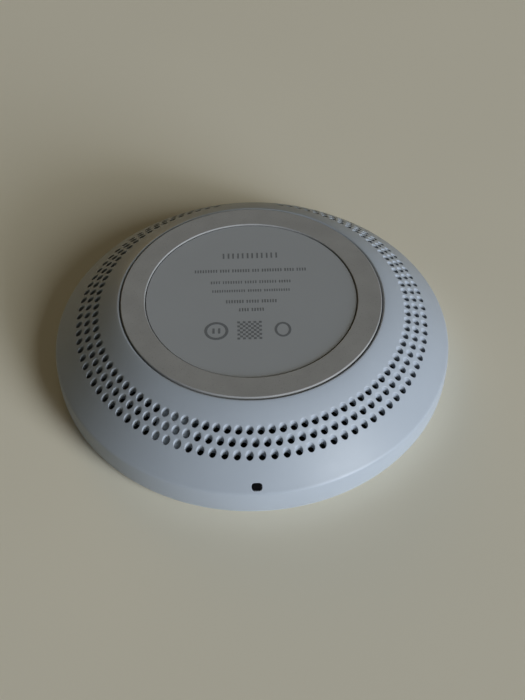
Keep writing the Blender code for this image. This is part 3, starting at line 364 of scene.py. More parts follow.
def case_plastic():
    """The case's cool white plastic, with light handling scratches and a few dark specks."""
    color = (0.352, 0.39, 0.435)
    made = Shader("case_white", 0.42, specular=0.4)
    base = made.drifting(color, 16.0, 3.0, 0.975, 1.02)
    streaks = made.noise(0.22, 2.0, made.stretched((1.0, 0.035, 0.12)))
    patches = made.noise(9.0, 2.0)
    scratch = made.math(
        "MULTIPLY",
        made.math("GREATER_THAN", streaks, 0.735),
        made.math("GREATER_THAN", patches, 0.55),
    )
    marked = made.mix(made.math("MULTIPLY", scratch, 0.22), base, shade(color, 0.62))
    made.color(made.specked(marked, shade(color, 0.55), 0.18, 0.35, 1.0, (0.755, 0.78)))
    made.rough(made.noise(1.8, 4.0), 0.07)
    made.bump(made.noise(0.16, 2.0), 0.005)
    return made.material


def foot_rubber():
    """The foot ring's warm grey rubber: matt, finely grained, with dust and small pits."""
    color = (0.306, 0.306, 0.30)
    made = Shader("foot_rubber", 0.72, specular=0.3)
    base = made.drifting(color, 7.0, 3.0, 0.93, 1.05)
    pitted = made.specked(base, shade(color, 0.45), 0.30, 0.34, 2.0, (0.62, 0.69))
    made.color(made.specked(pitted, shade(color, 1.25), 0.30, 0.30, 1.0, (0.68, 0.74)))
    made.rough(made.noise(1.2, 4.0), 0.08)
    made.bump(made.noise(0.14, 3.0), 0.012)
    return made.material


def label_plastic():
    """The label plate's smooth grey plastic film."""
    color = (0.337, 0.355, 0.373)
    made = Shader("label_grey", 0.64, specular=0.2)
    base = made.drifting(color, 20.0, 2.0, 0.985, 1.015)
    made.color(made.specked(base, shade(color, 0.6), 0.15, 0.28, 1.0, (0.77, 0.80)))
    made.rough(made.noise(3.0, 4.0), 0.05)
    made.bump(made.noise(0.12, 2.0), 0.0025)
    return made.material


def printed_ink():
    """The label's print: thin grey ink that lets a little of the plate through."""
    made = Shader("label_ink", 0.64, specular=0.2)
    cover = made.noise(0.25, 2.0)
    made.color(made.ramp(cover, (0.35, (0.175, 0.187, 0.20)), (0.65, (0.135, 0.146, 0.155))))
    made.rough(made.noise(0.6, 2.0), 0.05)
    return made.material


def metal(name, color, roughness, stretch=(1.0, 1.0, 1.0), depth=0.002):
    """Metal with fine tool marks. The marks are long along the axis with the least stretch."""
    made = Shader(name, roughness, metallic=1.0)
    marks = made.noise(0.12, 3.0, made.stretched(stretch))
    made.color(made.ramp(marks, (0.3, shade(color, 0.85)), (0.7, shade(color, 1.05))))
    made.rough(made.noise(0.8, 3.0), 0.07)
    made.bump(marks, depth)
    return made.material


def wound_copper(name, pitch):
    """Enamelled wire, with a ridge for each strand round the pad's axis, and painted shade in the
    grooves between strands.
    """
    color = (0.66, 0.27, 0.10)
    made = Shader(name, 0.32, metallic=1.0)
    x, y, _ = made.axes()
    radius = made.math("SQRT", made.math("ADD", made.math("MULTIPLY", x, x),
                                         made.math("MULTIPLY", y, y)))
    strand = made.math("SINE", made.math("MULTIPLY", radius, math.tau / (pitch * MM)))
    strand = made.math("MULTIPLY_ADD", strand, 0.5, 0.5)
    # Painted shade: the copper's colour darkens in the grooves between strands
    made.color(made.ramp(strand, (0.0, shade(color, 0.45)), (0.6, color)))
    made.rough(made.noise(0.7, 2.0), 0.06)
    made.bump(strand, 0.04)
    return made.material


def speckled(name, color, roughness, speck, amount, size=0.25):
    """A dull sintered or moulded body with a sprinkle of small grains."""
    made = Shader(name, roughness)
    base = made.drifting(color, 4.0, 3.0, 0.9, 1.1)
    made.color(made.specked(base, speck, amount, size, 2.0, (0.62, 0.7)))
    made.rough(made.noise(0.5, 3.0), 0.07)
    made.bump(made.noise(0.12, 3.0), 0.008)
    return made.material


def circuit_board():
    """Dark solder mask over bundles of straight copper tracks, with small pale vias."""
    mask = (0.012, 0.022, 0.02)
    made = Shader("board_mask", 0.34)
    x, y, _ = made.axes()
    patch = made.add("ShaderNodeTexVoronoi", feature="F1", distance="CHEBYCHEV")
    patch.inputs["Scale"].default_value = 1.0 / (BOARD_PATCH * MM)
    made.link(made.place, patch.inputs["Vector"])
    parts = made.add("ShaderNodeSeparateColor")
    made.link(patch.outputs["Color"], parts.inputs["Color"])
    turned_patch = made.math("GREATER_THAN", parts.outputs["Red"], 0.5)
    tracked_patch = made.math("GREATER_THAN", parts.outputs["Green"], 0.35)
    across = made.math("ADD", made.math("MULTIPLY", x, turned_patch),
                       made.math("MULTIPLY", y, made.math("SUBTRACT", 1.0, turned_patch)))
    wave = made.math("PINGPONG", across, TRACK_PITCH / 2 * MM)
    on_track = made.math("LESS_THAN", wave, TRACK_WIDTH / 2 * MM)
    line = made.math("MULTIPLY", on_track, tracked_patch)
    vias = made.add("ShaderNodeTexVoronoi", feature="F1")
    vias.inputs["Scale"].default_value = 1.0 / (VIA_PITCH * MM)
    made.link(made.place, vias.inputs["Vector"])
    dots = made.ramp(vias.outputs["Distance"], (0.09, 1.0), (0.12, 0.0))
    tracked = made.mix(line, mask, (0.03, 0.06, 0.048))
    made.color(made.mix(dots, tracked, (0.45, 0.42, 0.36)))
    made.rough(made.noise(1.0, 2.0), 0.06)
    made.bump(line, 0.02)
    return made.material


def contact_tongue():
    """The receptacle's black insulator, with gold contacts along its blade."""
    made = Shader("contact_tongue", 0.42)
    x, y, _ = made.axes()
    step = CONTACT_PITCH / 2 * MM
    stripe = made.math("PINGPONG", made.math("ADD", x, step), step)
    gold = made.math("LESS_THAN", stripe, CONTACT_WIDTH / 2 * MM)
    near_middle = made.math("LESS_THAN", made.math("ABSOLUTE", x), CONTACT_REACH * MM)
    past_start = made.math("GREATER_THAN", y, CONTACT_ENDS[0] * MM)
    before_end = made.math("LESS_THAN", y, CONTACT_ENDS[1] * MM)
    for part in (near_middle, past_start, before_end):
        gold = made.math("MULTIPLY", gold, part)
    grain = made.ramp(made.noise(0.3, 2.0), (0.3, 0.018), (0.7, 0.032))
    made.color(made.mix(gold, grain, (0.83, 0.60, 0.22)))
    made.link(gold, made.principled.inputs["Metallic"])
    made.bump(gold, 0.03)
    return made.material


def table_top():
    """A plain pale painted table."""
    color = (0.80, 0.76, 0.635)
    made = Shader("table_paint", 0.9, specular=0.05)
    made.color(made.drifting(color, 140.0, 2.0, 0.98, 1.02))
    made.rough(made.noise(30.0, 3.0), 0.05)
    made.bump(made.noise(0.6, 3.0), 0.006)
    return made.material


# ---------------------------------------------------------------- shapes


def polar(radius, angle, height=0.0):
    """The point at a distance from the pad's axis, an angle in degrees round it and a height."""
    turn = math.radians(angle)
    return Vector((radius * math.cos(turn), radius * math.sin(turn), height))


def upright(radius, angle, height):
    """A matrix in metres that puts a shape's +X along the pad's radius at that place."""
    spin = Matrix.Rotation(math.radians(angle), 4, "Z")
    return Matrix.Translation(polar(radius, angle, height) * MM) @ spin


def arc(centre, radius, first, last):
    """Points on an arc in an outline, between two angles in degrees."""
    points = []
    for step in range(ROUNDING_STEPS + 1):
        turn = math.radians(first + (last - first) * step / ROUNDING_STEPS)
        points.append((
            centre[0] + radius * math.cos(turn), centre[1] + radius * math.sin(turn),
        ))
    return points


def bezier(start, control, end, share):
    """A point on a curve with one control point."""
    return start * (1 - share) ** 2 + control * 2 * share * (1 - share) + end * share**2


def flank_ends():
    """The flank curve's start at the lip, its control point and its end at the crease."""
    start = Vector((RECESS_RADIUS + LIP_ROUNDING, LIP_TOP))
    end = Vector((CREASE_RADIUS, CREASE_HEIGHT))
    slope_a = math.tan(math.radians(LIP_SLOPE))
    slope_b = math.tan(math.radians(CREASE_SLOPE))
    run = ((end.x - start.x) * slope_b - (start.y - end.y)) / (slope_b - slope_a)
    return start, Vector((start.x + run, start.y - run * slope_a)), end


def flank_at(radius):
    """The flank's height and outward normal at a distance from the pad's axis."""
    start, control, end = flank_ends()
    low, high = 0.0, 1.0
    while high - low > FLANK_TOLERANCE:
        middle = (low + high) / 2
        if bezier(start, control, end, middle).x < radius:
            low = middle
        else:
            high = middle
    along = (control - start) * (1 - low) + (end - control) * low
    along.normalize()
    return bezier(start, control, end, low).y, Vector((-along.y, along.x))


def case_outline():
    """The case's outline: recess, lip, flank, crease and band, then back up its inside."""
    start, control, end = flank_ends()
    outside = [(0.0, RECESS_FLOOR), (RECESS_RADIUS, RECESS_FLOOR)]
    outside += arc((start.x, LIP_TOP - LIP_ROUNDING), LIP_ROUNDING, 180, 90)
    last = 1.0 - CREASE_SOFTNESS
    outside += [
        tuple(bezier(start, control, end, last * k / FLANK_STEPS))
        for k in range(1, FLANK_STEPS + 1)
    ]
    soft_start = bezier(start, control, end, last)
    band_top = Vector(BAND_TOP)
    inset, drop = CREASE_CORNER_INSET
    soft_corner = Vector((BAND_TOP[0] - inset, CREASE_HEIGHT - drop))
    outside += [
        tuple(bezier(soft_start, soft_corner, band_top, k / ROUNDING_STEPS))
        for k in range(1, ROUNDING_STEPS + 1)
    ]
    foot = Vector((PAD_RADIUS - BAND_FOOT_SETBACK, CASE_BOTTOM + BAND_FOOT_ROUNDING))
    widest = Vector((2 * PAD_RADIUS - (BAND_TOP[0] + foot.x) / 2, (BAND_TOP[1] + foot.y) / 2))
    outside += [
        tuple(bezier(band_top, widest, foot, k / ROUNDING_STEPS))
        for k in range(1, ROUNDING_STEPS)
    ]
    outside += arc((foot.x - BAND_FOOT_ROUNDING, foot.y), BAND_FOOT_ROUNDING, 0, -90)
    # The inside runs a wall's thickness under the flank, in coarser steps, up to the ceiling
    inside = [(foot.x - WALL, CASE_BOTTOM)]
    for step in range(FLANK_STEPS, -1, -2):
        share = step / FLANK_STEPS
        along = (control - start) * (1 - share) + (end - control) * share
        along.normalize()
        point = bezier(start, control, end, share) - Vector((-along.y, along.x)) * WALL
        if point.y >= CEILING:
            break
        inside.append((min(point.x, foot.x - WALL), point.y))
    before = Vector(inside[-1])
    rest = (CEILING - before.y) / (point.y - before.y)
    inside.append((before.x + (point.x - before.x) * rest, CEILING))
    return outside + inside + [(0.0, CEILING)]


def mesh_object(name, bm, material=None):
    """An object from a bmesh whose sizes are in millimetres."""
    bmesh.ops.scale(bm, vec=(MM, MM, MM), verts=bm.verts)
    data = bpy.data.meshes.new(name)
    bm.to_mesh(data)
    bm.free()
    if material is not None:
        data.materials.append(material)
    obj = bpy.data.objects.new(name, data)
    bpy.context.scene.collection.objects.link(obj)
    return obj


def turned(name, outline, material=None):
    """Turn an outline that runs down its outer side round the pad's axis, as one closed mesh."""
    bm = bmesh.new()
    rings = []
    for radius, height in outline:
        if radius == 0.0:
            rings.append([bm.verts.new((0.0, 0.0, height))] * TURNED_STEPS)
        else:
            rings.append([
                bm.verts.new(polar(radius, 360.0 * k / TURNED_STEPS, height))
                for k in range(TURNED_STEPS)
            ])
    pairs = list(zip(rings, rings[1:]))
    if outline[0][0] != 0.0:
        pairs.append((rings[-1], rings[0]))
    for upper, lower in pairs:
        for k in range(TURNED_STEPS):
            corners = [upper[k - 1], lower[k - 1], lower[k], upper[k]]
            face = [v for i, v in enumerate(corners) if v not in corners[:i]]
            if len(face) > 2:
                bm.faces.new(face)
    return mesh_object(name, bm, material)


def rods(name, radius, bottom, top, places):
    """Upright rods at a list of (distance from the axis, angle), as one mesh."""
    bm = bmesh.new()
    for distance, angle in places:
        middle = polar(distance, angle, (top + bottom) / 2)
        bmesh.ops.create_cone(
            bm, cap_ends=True, segments=ROD_SIDES, radius1=radius, radius2=radius,
            depth=top - bottom, matrix=Matrix.Translation(middle),
        )
    return mesh_object(name, bm)


def slab(name, width, height, depth, rounding, spot, material=None, soft=0.0):
    """A slab with round corners across X and Y, centred on its place. soft rounds its edges."""
    bm = bmesh.new()
    bmesh.ops.create_cube(bm, size=1.0)
    bmesh.ops.scale(bm, vec=(width, height, depth), verts=bm.verts)
    upright_edges = [
        e for e in bm.edges if abs(e.verts[0].co.z - e.verts[1].co.z) > depth / 2
    ]
    bmesh.ops.bevel(
        bm, geom=upright_edges, offset=rounding, offset_type="OFFSET", segments=CORNER_STEPS,
        profile=0.5, affect="EDGES",
    )
    if soft:
        sharp = math.radians(EDGE_ANGLE)
        rim = [e for e in bm.edges if e.is_manifold and e.calc_face_angle() > sharp]
        bmesh.ops.bevel(
            bm, geom=rim, offset=soft, offset_type="OFFSET", segments=EDGE_STEPS, profile=0.5,
            affect="EDGES",
        )
    obj = mesh_object(name, bm, material)
    obj.data.transform(spot)
    return obj


def across_socket(y):
    """A matrix that lays a slab's width along X and its height along Z, at a depth in Y."""
    lay = Matrix.Rotation(math.pi / 2, 4, "X")
    return Matrix.Translation(Vector((0.0, y, SOCKET_MIDDLE)) * MM) @ lay


def boolean(obj, operation, *others):
    """Add the steps that join other objects to one, cut them from it, or keep what they share."""
    for other in others:
        step = obj.modifiers.new(f"{operation.lower()}_{other.name}", "BOOLEAN")
        step.operation = operation
        step.solver = "MANIFOLD"
        step.object = other


def settle(obj, smooth=True):
    """Apply an object's booleans, remove its cutters, and shade its round sides smooth."""
    cutters = {step.object for step in obj.modifiers if step.type == "BOOLEAN"}
    if cutters:
        graph = bpy.context.evaluated_depsgraph_get()
        made = bpy.data.meshes.new_from_object(obj.evaluated_get(graph))
        obj.modifiers.clear()
        obj.data = made
        for cutter in cutters:
            bpy.data.objects.remove(cutter)
    if smooth:
        obj.data.shade_smooth()
        obj.data.set_sharp_from_angle(angle=math.radians(SHARP_ANGLE))
        weighted = obj.modifiers.new("weighted", "WEIGHTED_NORMAL")
        weighted.keep_sharp = True
    return obj


def stand_for(obj, slot, *nodes):
    """Put a finished piece on the housing in place of its CAD nodes. The slot argument is not used.
    """
    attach(obj, HOUSING)
    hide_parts(*nodes)


# ---------------------------------------------------------------- outer pieces


def vent_places():
    """Each vent's distance from the axis and its angle, with none beside the cable socket."""
    pitch = 360.0 / VENT_PITCHES
    places = []
    for row, radius in enumerate(VENT_ROW_RADII):
        shift = 0.0 if row % 2 else pitch / 2
        for step in range(VENT_PITCHES):
            angle = 270.0 + shift + step * pitch
            if abs((angle - 90.0 + 180.0) % 360.0 - 180.0) > VENT_FREE_ANGLE:
                places.append((radius, angle))
    return places


def vent_cutter():
    """Every vent as an upright rod whose top flares into the rounded edge of its hole.

    The rounding follows the flank: each ring of the flare lies at one depth under the surface.
    """
    bm = bmesh.new()
    flare = [(VENT_RADIUS + VENT_ROUNDING * VENT_MOUTH_GROWTH, WALL)]
    for step in range(VENT_FLARE_STEPS + 1):
        turn = math.pi / 2 * step / VENT_FLARE_STEPS
        flare.append((
            VENT_RADIUS + VENT_ROUNDING * (1 - math.sin(turn)),
            -VENT_ROUNDING * (1 - math.cos(turn)),
        ))
    heights = {}
    for distance, angle in vent_places():
        middle = polar(distance, angle)
        rings = []
        for radius, rise in flare:
            ring = []
            for side in range(VENT_SIDES):
                spot = middle + polar(radius, angle + 360.0 * side / VENT_SIDES)
                key = (distance, round(radius, 4), side)
                if key not in heights:
                    heights[key] = flank_at(spot.length)[0]
                ring.append(bm.verts.new((spot.x, spot.y, heights[key] + rise)))
            rings.append(ring)
        floor = flank_at(distance)[0] - VENT_DEPTH
        rings.append([bm.verts.new((v.co.x, v.co.y, floor)) for v in rings[-1]])
        for upper, lower in zip(rings, rings[1:]):
            for k in range(VENT_SIDES):
                bm.faces.new((upper[k - 1], lower[k - 1], lower[k], upper[k]))
        bm.faces.new(rings[0])
        bm.faces.new(list(reversed(rings[-1])))
    return mesh_object("vent_cutter", bm)


def vent_rib():
    """The rib under the vents, which shuts some of them a little way down."""
    inner, outer = RIB_RADII
    top = []
    for step in range(ROUNDING_STEPS + 1):
        radius = inner + (outer - inner) * step / ROUNDING_STEPS
        top.append((radius, flank_at(radius)[0] - RIB_COVER))
    rib = turned("vent_rib", top + [(outer, RIB_BOTTOM), (inner, RIB_BOTTOM)])
    strip = slab(
        "rib_strip", 2 * (outer - inner), RIB_WIDTH, RIB_STRIP_DEPTH, RIB_ROUNDING,
        upright((inner + outer) / 2, RIB_ANGLE, RIB_BOTTOM),
    )
    boolean(rib, "INTERSECT", strip)
    return settle(rib, smooth=False)


def pocket_walls():
    """The walls round the cable socket's pocket, up to just under the case's outer surface."""
    bottom = SOCKET_MIDDLE - POCKET_SIZE[1] / 2 - POCKET_WALL
    top = flank_at(POCKET_FLOOR)[0] - POCKET_SKIN
    depth = POCKET_WALLS_REACH - POCKET_FLOOR + POCKET_WEB
    walls = slab(
        "pocket_walls", POCKET_SIZE[0] + 2 * POCKET_WALL, depth, top - bottom,
        POCKET_WALL_ROUNDING, Matrix.Translation(Vector((
            0.0, POCKET_FLOOR - POCKET_WEB + depth / 2, (top + bottom) / 2,
        )) * MM),
    )
    start, control, end = flank_ends()
    skin = [
        tuple(bezier(start, control, end, k / FLANK_STEPS) - Vector((POCKET_SKIN, POCKET_SKIN)))
        for k in range(1, FLANK_STEPS + 1)
    ]
    foot = (PAD_RADIUS - BAND_FOOT_SETBACK - POCKET_SKIN, CASE_BOTTOM - POCKET_SKIN)
    under = turned("under_flank", [(0.0, FOOT_TOP), *skin, foot, (0.0, CASE_BOTTOM)])
    boolean(walls, "INTERSECT", under)
    return settle(walls, smooth=False)


def window_spot(depth):
    """A matrix at the status window whose +Z is the flank's outward normal, and +Y its width."""
    height, normal = flank_at(WINDOW_RADIUS)
    tilt = Matrix.Rotation(math.atan2(normal.x, normal.y), 4, "Y")
    sink = Matrix.Translation(Vector((0.0, 0.0, -depth * MM)))
    return upright(WINDOW_RADIUS, 270.0, height) @ tilt @ sink


def make_case():
    """The bottom case: its shell, vents, rib, bosses, socket pocket and window slot."""
    posts = [(POST_CIRCLE, angle) for angle in POST_ANGLES]
    case = turned("case_shell", case_outline(), case_plastic())
    boolean(case, "DIFFERENCE", vent_cutter())
    bosses = rods("bosses", BOSS_RADIUS, BOSS_BOTTOM, (CEILING + RECESS_FLOOR) / 2, posts)
    boolean(case, "UNION", vent_rib(), pocket_walls(), bosses)
    pocket = slab(
        "pocket", POCKET_SIZE[0], POCKET_SIZE[1], 2 * (PAD_RADIUS - POCKET_FLOOR),
        POCKET_ROUNDING, across_socket(PAD_RADIUS),
    )
    slot = slab(
        "slot", SOCKET_OPENING[0], SOCKET_OPENING[1], 6 * POCKET_WEB, SOCKET_OPENING_ROUNDING,
        across_socket(POCKET_FLOOR),
    )
    heads = rods("heads", HEAD_HOLE_RADIUS, HEAD_HOLE_FLOOR, RECESS_FLOOR + PAST, posts)
    shanks = rods(
        "shanks", SHANK_HOLE_RADIUS, BOSS_BOTTOM - PAST, HEAD_HOLE_FLOOR + SHANK_OVERLAP, posts,
    )
    window = slab(
        "window", WINDOW_SIZE[1], WINDOW_SIZE[0], 6 * WALL, WINDOW_ROUNDING, window_spot(0.0),
    )
    boolean(case, "DIFFERENCE", pocket, slot, heads, shanks, window)
    flare = slab(
        "window_flare", WINDOW_SIZE[1] + 2 * WINDOW_EDGE, WINDOW_SIZE[0] + 2 * WINDOW_EDGE,
        WINDOW_FLARE_DEPTH, WINDOW_ROUNDING + WINDOW_EDGE,
        window_spot(WINDOW_EDGE - WINDOW_FLARE_DEPTH / 2), soft=WINDOW_FLARE_ROUNDING,
    )
    boolean(case, "DIFFERENCE", flare)
    stand_for(settle(case), "case_plastic", "bottom_case")


def make_foot_ring():
    """The rubber ring that the pad stands on, with softly rounded upper edges."""
    inner = FOOT_OUTER_RADIUS - FOOT_WIDTH
    high = FOOT_TOP - FOOT_ROUNDING
    outline = arc((inner + FOOT_ROUNDING, high), FOOT_ROUNDING, 180, 90)
    outline += arc((FOOT_OUTER_RADIUS - FOOT_ROUNDING, high), FOOT_ROUNDING, 90, 0)
    outline += [(FOOT_OUTER_RADIUS, FOOT_BOTTOM), (inner, FOOT_BOTTOM)]
    ring = turned("foot_ring_fine", outline, foot_rubber())
    return stand_for(settle(ring), "foot_rubber", "foot_ring")


def make_label():
    """The label plate and, as a separate thin layer, its print of plain strokes and shapes."""
    outline = [(0.0, LABEL_TOP)]
    outline += arc(
        (LABEL_RADIUS - LABEL_ROUNDING, LABEL_TOP - LABEL_ROUNDING), LABEL_ROUNDING, 90, 0
    )
    outline += [(LABEL_RADIUS, FOOT_BOTTOM), (0.0, FOOT_BOTTOM)]
    plate = turned("label_plate_fine", outline, label_plastic())
    stand_for(settle(plate), "label_plastic", "label_plate")
    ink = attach(label_print(), HOUSING)


def print_ring(bm, x, y, across, tall, line):
    """A flat ring of ink: its middle, its half width and height, and its line's width."""
    low, high = PRINT_LIFT, PRINT_LIFT + PRINT_THICKNESS
    turns = [math.tau * k / PRINT_RING_SIDES for k in range(PRINT_RING_SIDES)]
    loops = []
    for grow, height in ((0.0, high), (0.0, low), (-line, low), (-line, high)):
        loops.append([
            bm.verts.new((
                x + (across + grow) * math.cos(turn),
                y + (tall + grow) * math.sin(turn),
                LABEL_TOP + height,
            ))
            for turn in turns
        ])
    for a, b in zip(loops, loops[1:] + loops[:1]):
        for k in range(PRINT_RING_SIDES):
            bm.faces.new((a[k - 1], b[k - 1], b[k], a[k]))


def print_bar(bm, x, y, width, height):
    """A flat bar of ink, with its left end's middle at a place on the label."""
    middle = (x + width / 2, y, LABEL_TOP + PRINT_LIFT + PRINT_THICKNESS / 2)
    spot = Matrix.Translation(middle) @ Matrix.Diagonal((width, height, PRINT_THICKNESS, 1.0))
    bmesh.ops.create_cube(bm, size=1.0, matrix=spot)


def label_print():
    """The print as one mesh: rows of strokes, a ring with ticks, an oval and a square."""
    bm = bmesh.new()
    for y, height, width, space, groups in PRINT_ROWS:
        strokes = sum(groups)
        length = strokes * width + (strokes - len(groups)) * space
        x = -(length + PRINT_GROUP_SPACE * (len(groups) - 1)) / 2
        for count in groups:
            for _ in range(count):
                print_bar(bm, x, y, width, height)
                x += width + space
            x += PRINT_GROUP_SPACE - space
    x, radius, line = PRINT_RING
    print_ring(bm, x, PRINT_MARK_HEIGHT, radius, radius, line)
    width, height, shifts = PRINT_TICKS
    for shift in shifts:
        print_bar(bm, x + shift, PRINT_MARK_HEIGHT, width, height)
    x, radius, line = PRINT_OVAL
    print_ring(bm, x, PRINT_MARK_HEIGHT, radius, radius * PRINT_OVAL_STRETCH, line)
    x, size, count = PRINT_SQUARE
    cell = size / count
    for row in range(count):
        for column in range(row % 2, count, 2):
            print_bar(
                bm, x - size / 2 + column * cell,
                PRINT_MARK_HEIGHT + size / 2 - (row + 0.5) * cell, cell, cell * PRINT_CELL_FILL,
            )
    bmesh.ops.recalc_face_normals(bm, faces=bm.faces)
    return mesh_object("label_print", bm, printed_ink())


def make_cover():
    """The charging cover with its rim, lip and grip groove, its screw posts and board bosses."""
    groove_inner = GRIP_INNER_RADIUS - GRIP_GAP
    groove_outer = GRIP_OUTER_RADIUS + GRIP_GAP
    groove_floor = GRIP_TOP + GRIP_GAP
    lip_inner, lip_outer = COVER_LIP_RADII
    outline = [
        (0.0, COVER_TOP), (lip_inner, COVER_TOP), (lip_inner, COVER_LIP_TOP),
        (lip_outer, COVER_LIP_TOP), (lip_outer, COVER_SHELF), (COVER_RADIUS, COVER_SHELF),
    ]
    outline += arc(
        (COVER_RADIUS - COVER_ROUNDING, COVER_FACE + COVER_ROUNDING), COVER_ROUNDING, 0, -90
    )
    outline += [
        (groove_outer, COVER_FACE), (groove_outer, groove_floor), (groove_inner, groove_floor),
        (groove_inner, COVER_FACE), (0.0, COVER_FACE),
    ]
    color = (0.45, 0.49, 0.53)
    cover = turned("cover_shell", outline, moulded("cover_white", color, 0.40))
    posts = [(POST_CIRCLE, angle) for angle in POST_ANGLES]
    bosses = [(BOARD_BOSS_CIRCLE, angle) for angle in BOARD_BOSS_ANGLES]
    base = COVER_TOP - POST_SINK
    boolean(
        cover, "UNION", rods("posts", POST_RADIUS, base, POST_TOP, posts),
        rods("board_bosses", BOARD_BOSS_RADIUS, base, BOARD_BOSS_TOP, bosses),
    )
    boolean(
        cover, "DIFFERENCE",
        rods("post_pilots", PILOT_RADIUS, POST_TOP - PILOT_DEPTH, POST_TOP + PAST, posts),
        rods("boss_pilots", PILOT_RADIUS, COVER_TOP, BOARD_BOSS_TOP + PAST, bosses),
    )
    stand_for(settle(cover), "cover_plastic", "charging_cover")


def make_grip():
    """The silicone ring in the cover's groove, with the edges of its phone side rounded."""
    rounding = GRIP_ROUNDING
    outline = [(GRIP_INNER_RADIUS, GRIP_TOP), (GRIP_OUTER_RADIUS, GRIP_TOP)]
    outline += arc((GRIP_OUTER_RADIUS - rounding, rounding), rounding, 0, -90)
    outline += arc((GRIP_INNER_RADIUS + rounding, rounding), rounding, -90, -180)
    grip = turned(
        "grip_ring_fine", outline,
        moulded("grip_silicone", (0.42, 0.43, 0.44), 0.66, grain=0.3, depth=0.012, specular=0.3),
    )
    stand_for(settle(grip), "grip_silicone", "grip_ring")


def make_window():
    """The dark window that fills the slot in the flank, a little under its surface."""
    window = slab(
        "status_window_fine", WINDOW_SIZE[1] - 2 * WINDOW_GAP, WINDOW_SIZE[0] - 2 * WINDOW_GAP,
        WINDOW_LENGTH, WINDOW_ROUNDING - WINDOW_GAP,
        window_spot(WINDOW_RECESS + WINDOW_LENGTH / 2),
        moulded("smoked_window", (0.003, 0.003, 0.0035), 0.3, depth=0.001, specular=0.15),
        soft=WINDOW_FACE_ROUNDING,
    )
    stand_for(settle(window), "smoked_window", "status_window")


# ---------------------------------------------------------------- inner pieces


def finish_inside():
    """Give every CAD node that still shows a finish of its own."""
    steel = metal("plated_steel", (0.62, 0.62, 0.64), 0.28, (1.0, 1.0, 6.0))
    chip = speckled("chip_resin", (0.022, 0.022, 0.024), 0.5, (0.09, 0.09, 0.09), 0.5, 0.2)
    ceramic = speckled("capacitor_ceramic", (0.45, 0.33, 0.2), 0.38, (0.62, 0.5, 0.34), 0.5)
    ferrite = speckled("dark_ferrite", (0.05, 0.05, 0.055), 0.46, (0.16, 0.16, 0.17), 0.7)
    copper = wound_copper("wound_copper", 0.28)
    sleeve = moulded("wire_sleeve", (0.03, 0.03, 0.03), 0.42, grain=0.3, depth=0.004)
    fan_black = moulded("fan_black", (0.022, 0.022, 0.024), 0.44, grain=0.22, depth=0.01)
    tape = speckled("foam_tape", (0.72, 0.70, 0.66), 0.7, (0.85, 0.84, 0.8), 0.6)
    thermal = speckled(
        "thermal_silicone", (0.32, 0.42, 0.58), 0.72, (0.5, 0.58, 0.7), 0.5, 0.4,
    )
    aluminium = metal(
        "brushed_aluminium", (0.78, 0.79, 0.80), 0.34, (0.04, 1.0, 1.0), depth=0.004,
    )
    finishes = (
        (("case_screw", "board_screw", "fan_screw", "rotor_shaft", "usb_c_shell"), steel),
        (("controller_chip", "driver_chip", "power_transistor", "thermistor"), chip),
        (("input_capacitor", "resonant_capacitor"), ceramic),
        (("ferrite_disc", "input_inductor", "rotor_magnet"), ferrite),
        (("coil_winding", "fan_stator"), copper),
        (("coil_lead", "fan_lead"), sleeve),
        (("fan_frame", "fan_cover", "fan_rotor"), fan_black),
        (("foot_tape", "label_tape"), tape),
        (("coil_carrier",), moulded("carrier_black", (0.06, 0.06, 0.065), 0.5, depth=0.01)),
        (("thermal_pad",), thermal),
        (("heat_spreader",), aluminium),
        (("main_board",), circuit_board()),
        (("usb_c_tongue",), contact_tongue()),
        (("fan_socket",), moulded("connector_nylon", (0.78, 0.75, 0.66), 0.45)),
        (("fan_bearing",), metal("sintered_bronze", (0.55, 0.37, 0.17), 0.4, depth=0.005)),
        (("status_led",), moulded("lamp_resin", (0.85, 0.83, 0.66), 0.22, drift=0.08)),
    )
    for starts, finish in finishes:
        for name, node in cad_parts.items():
            if name.startswith(starts):
                for slot in node.material_slots:
                    slot.material = finish


# ---------------------------------------------------------------- stage


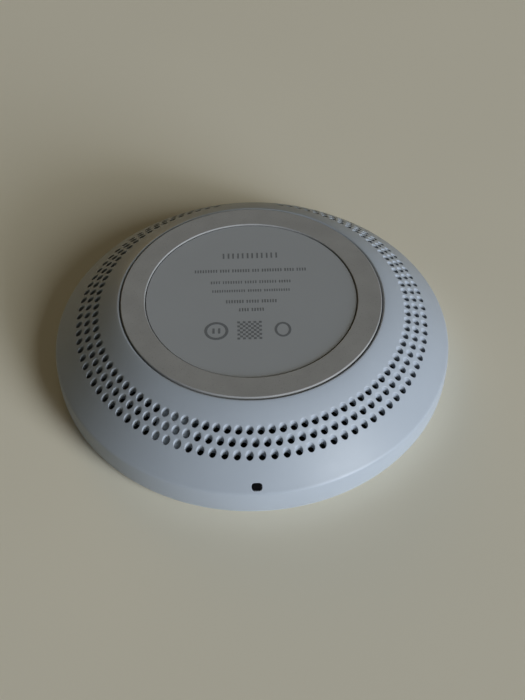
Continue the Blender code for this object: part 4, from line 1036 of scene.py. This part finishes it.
def make_floor():
    """The plain table that the pad lies on."""
    bm = bmesh.new()
    bmesh.ops.create_grid(
        bm, x_segments=FLOOR_SEGMENTS, y_segments=FLOOR_SEGMENTS, size=FLOOR_SIZE / 2 / MM,
    )
    mesh_object("table", bm, table_top())


def make_lights():
    """Large soft lamps far from the pad, and a faint even light from all round."""
    world = bpy.data.worlds.new("studio")
    world.use_nodes = True
    background = world.node_tree.nodes["Background"]
    background.inputs["Color"].default_value = (*WORLD_COLOR, 1.0)
    background.inputs["Strength"].default_value = WORLD_STRENGTH
    bpy.context.scene.world = world
    for name, turn, rise, distance, size, power, color in LIGHTS:
        light = bpy.data.lights.new(name, "AREA")
        light.shape = "DISK"
        light.size = size
        light.energy = power
        light.color = color
        lamp = bpy.data.objects.new(name, light)
        level = math.radians(rise)
        away = polar(math.cos(level), turn, math.sin(level))
        lamp.location = away * distance
        lamp.rotation_euler = away.to_track_quat("Z", "Y").to_euler()
        bpy.context.scene.collection.objects.link(lamp)


def make_camera():
    """The camera, turned by its angle down, its yaw from +Y and its roll."""
    down, yaw, roll = (math.radians(a) for a in (CAMERA_DOWN, CAMERA_YAW, CAMERA_ROLL))
    forward = Vector((
        math.cos(down) * math.sin(yaw), math.cos(down) * math.cos(yaw), -math.sin(down),
    ))
    right = Vector((math.cos(yaw), -math.sin(yaw), 0.0))
    up = right.cross(forward)
    rolled_right = right * math.cos(roll) + up * math.sin(roll)
    rolled_up = up * math.cos(roll) - right * math.sin(roll)
    turn = Matrix((rolled_right, rolled_up, -forward)).transposed()
    data = bpy.data.cameras.new("camera")
    data.lens = CAMERA_LENS
    data.sensor_width = CAMERA_SENSOR
    data.clip_start = CAMERA_NEAREST
    camera = bpy.data.objects.new("camera", data)
    camera.matrix_world = Matrix.Translation(Vector(CAMERA_PLACE) * MM) @ turn.to_4x4()
    bpy.context.scene.collection.objects.link(camera)
    bpy.context.scene.camera = camera


bpy.context.scene.view_settings.view_transform = "Standard"
make_case()
make_foot_ring()
make_label()
make_cover()
make_grip()
make_window()
finish_inside()
make_floor()
make_lights()
make_camera()

bpy.context.view_layer.update()
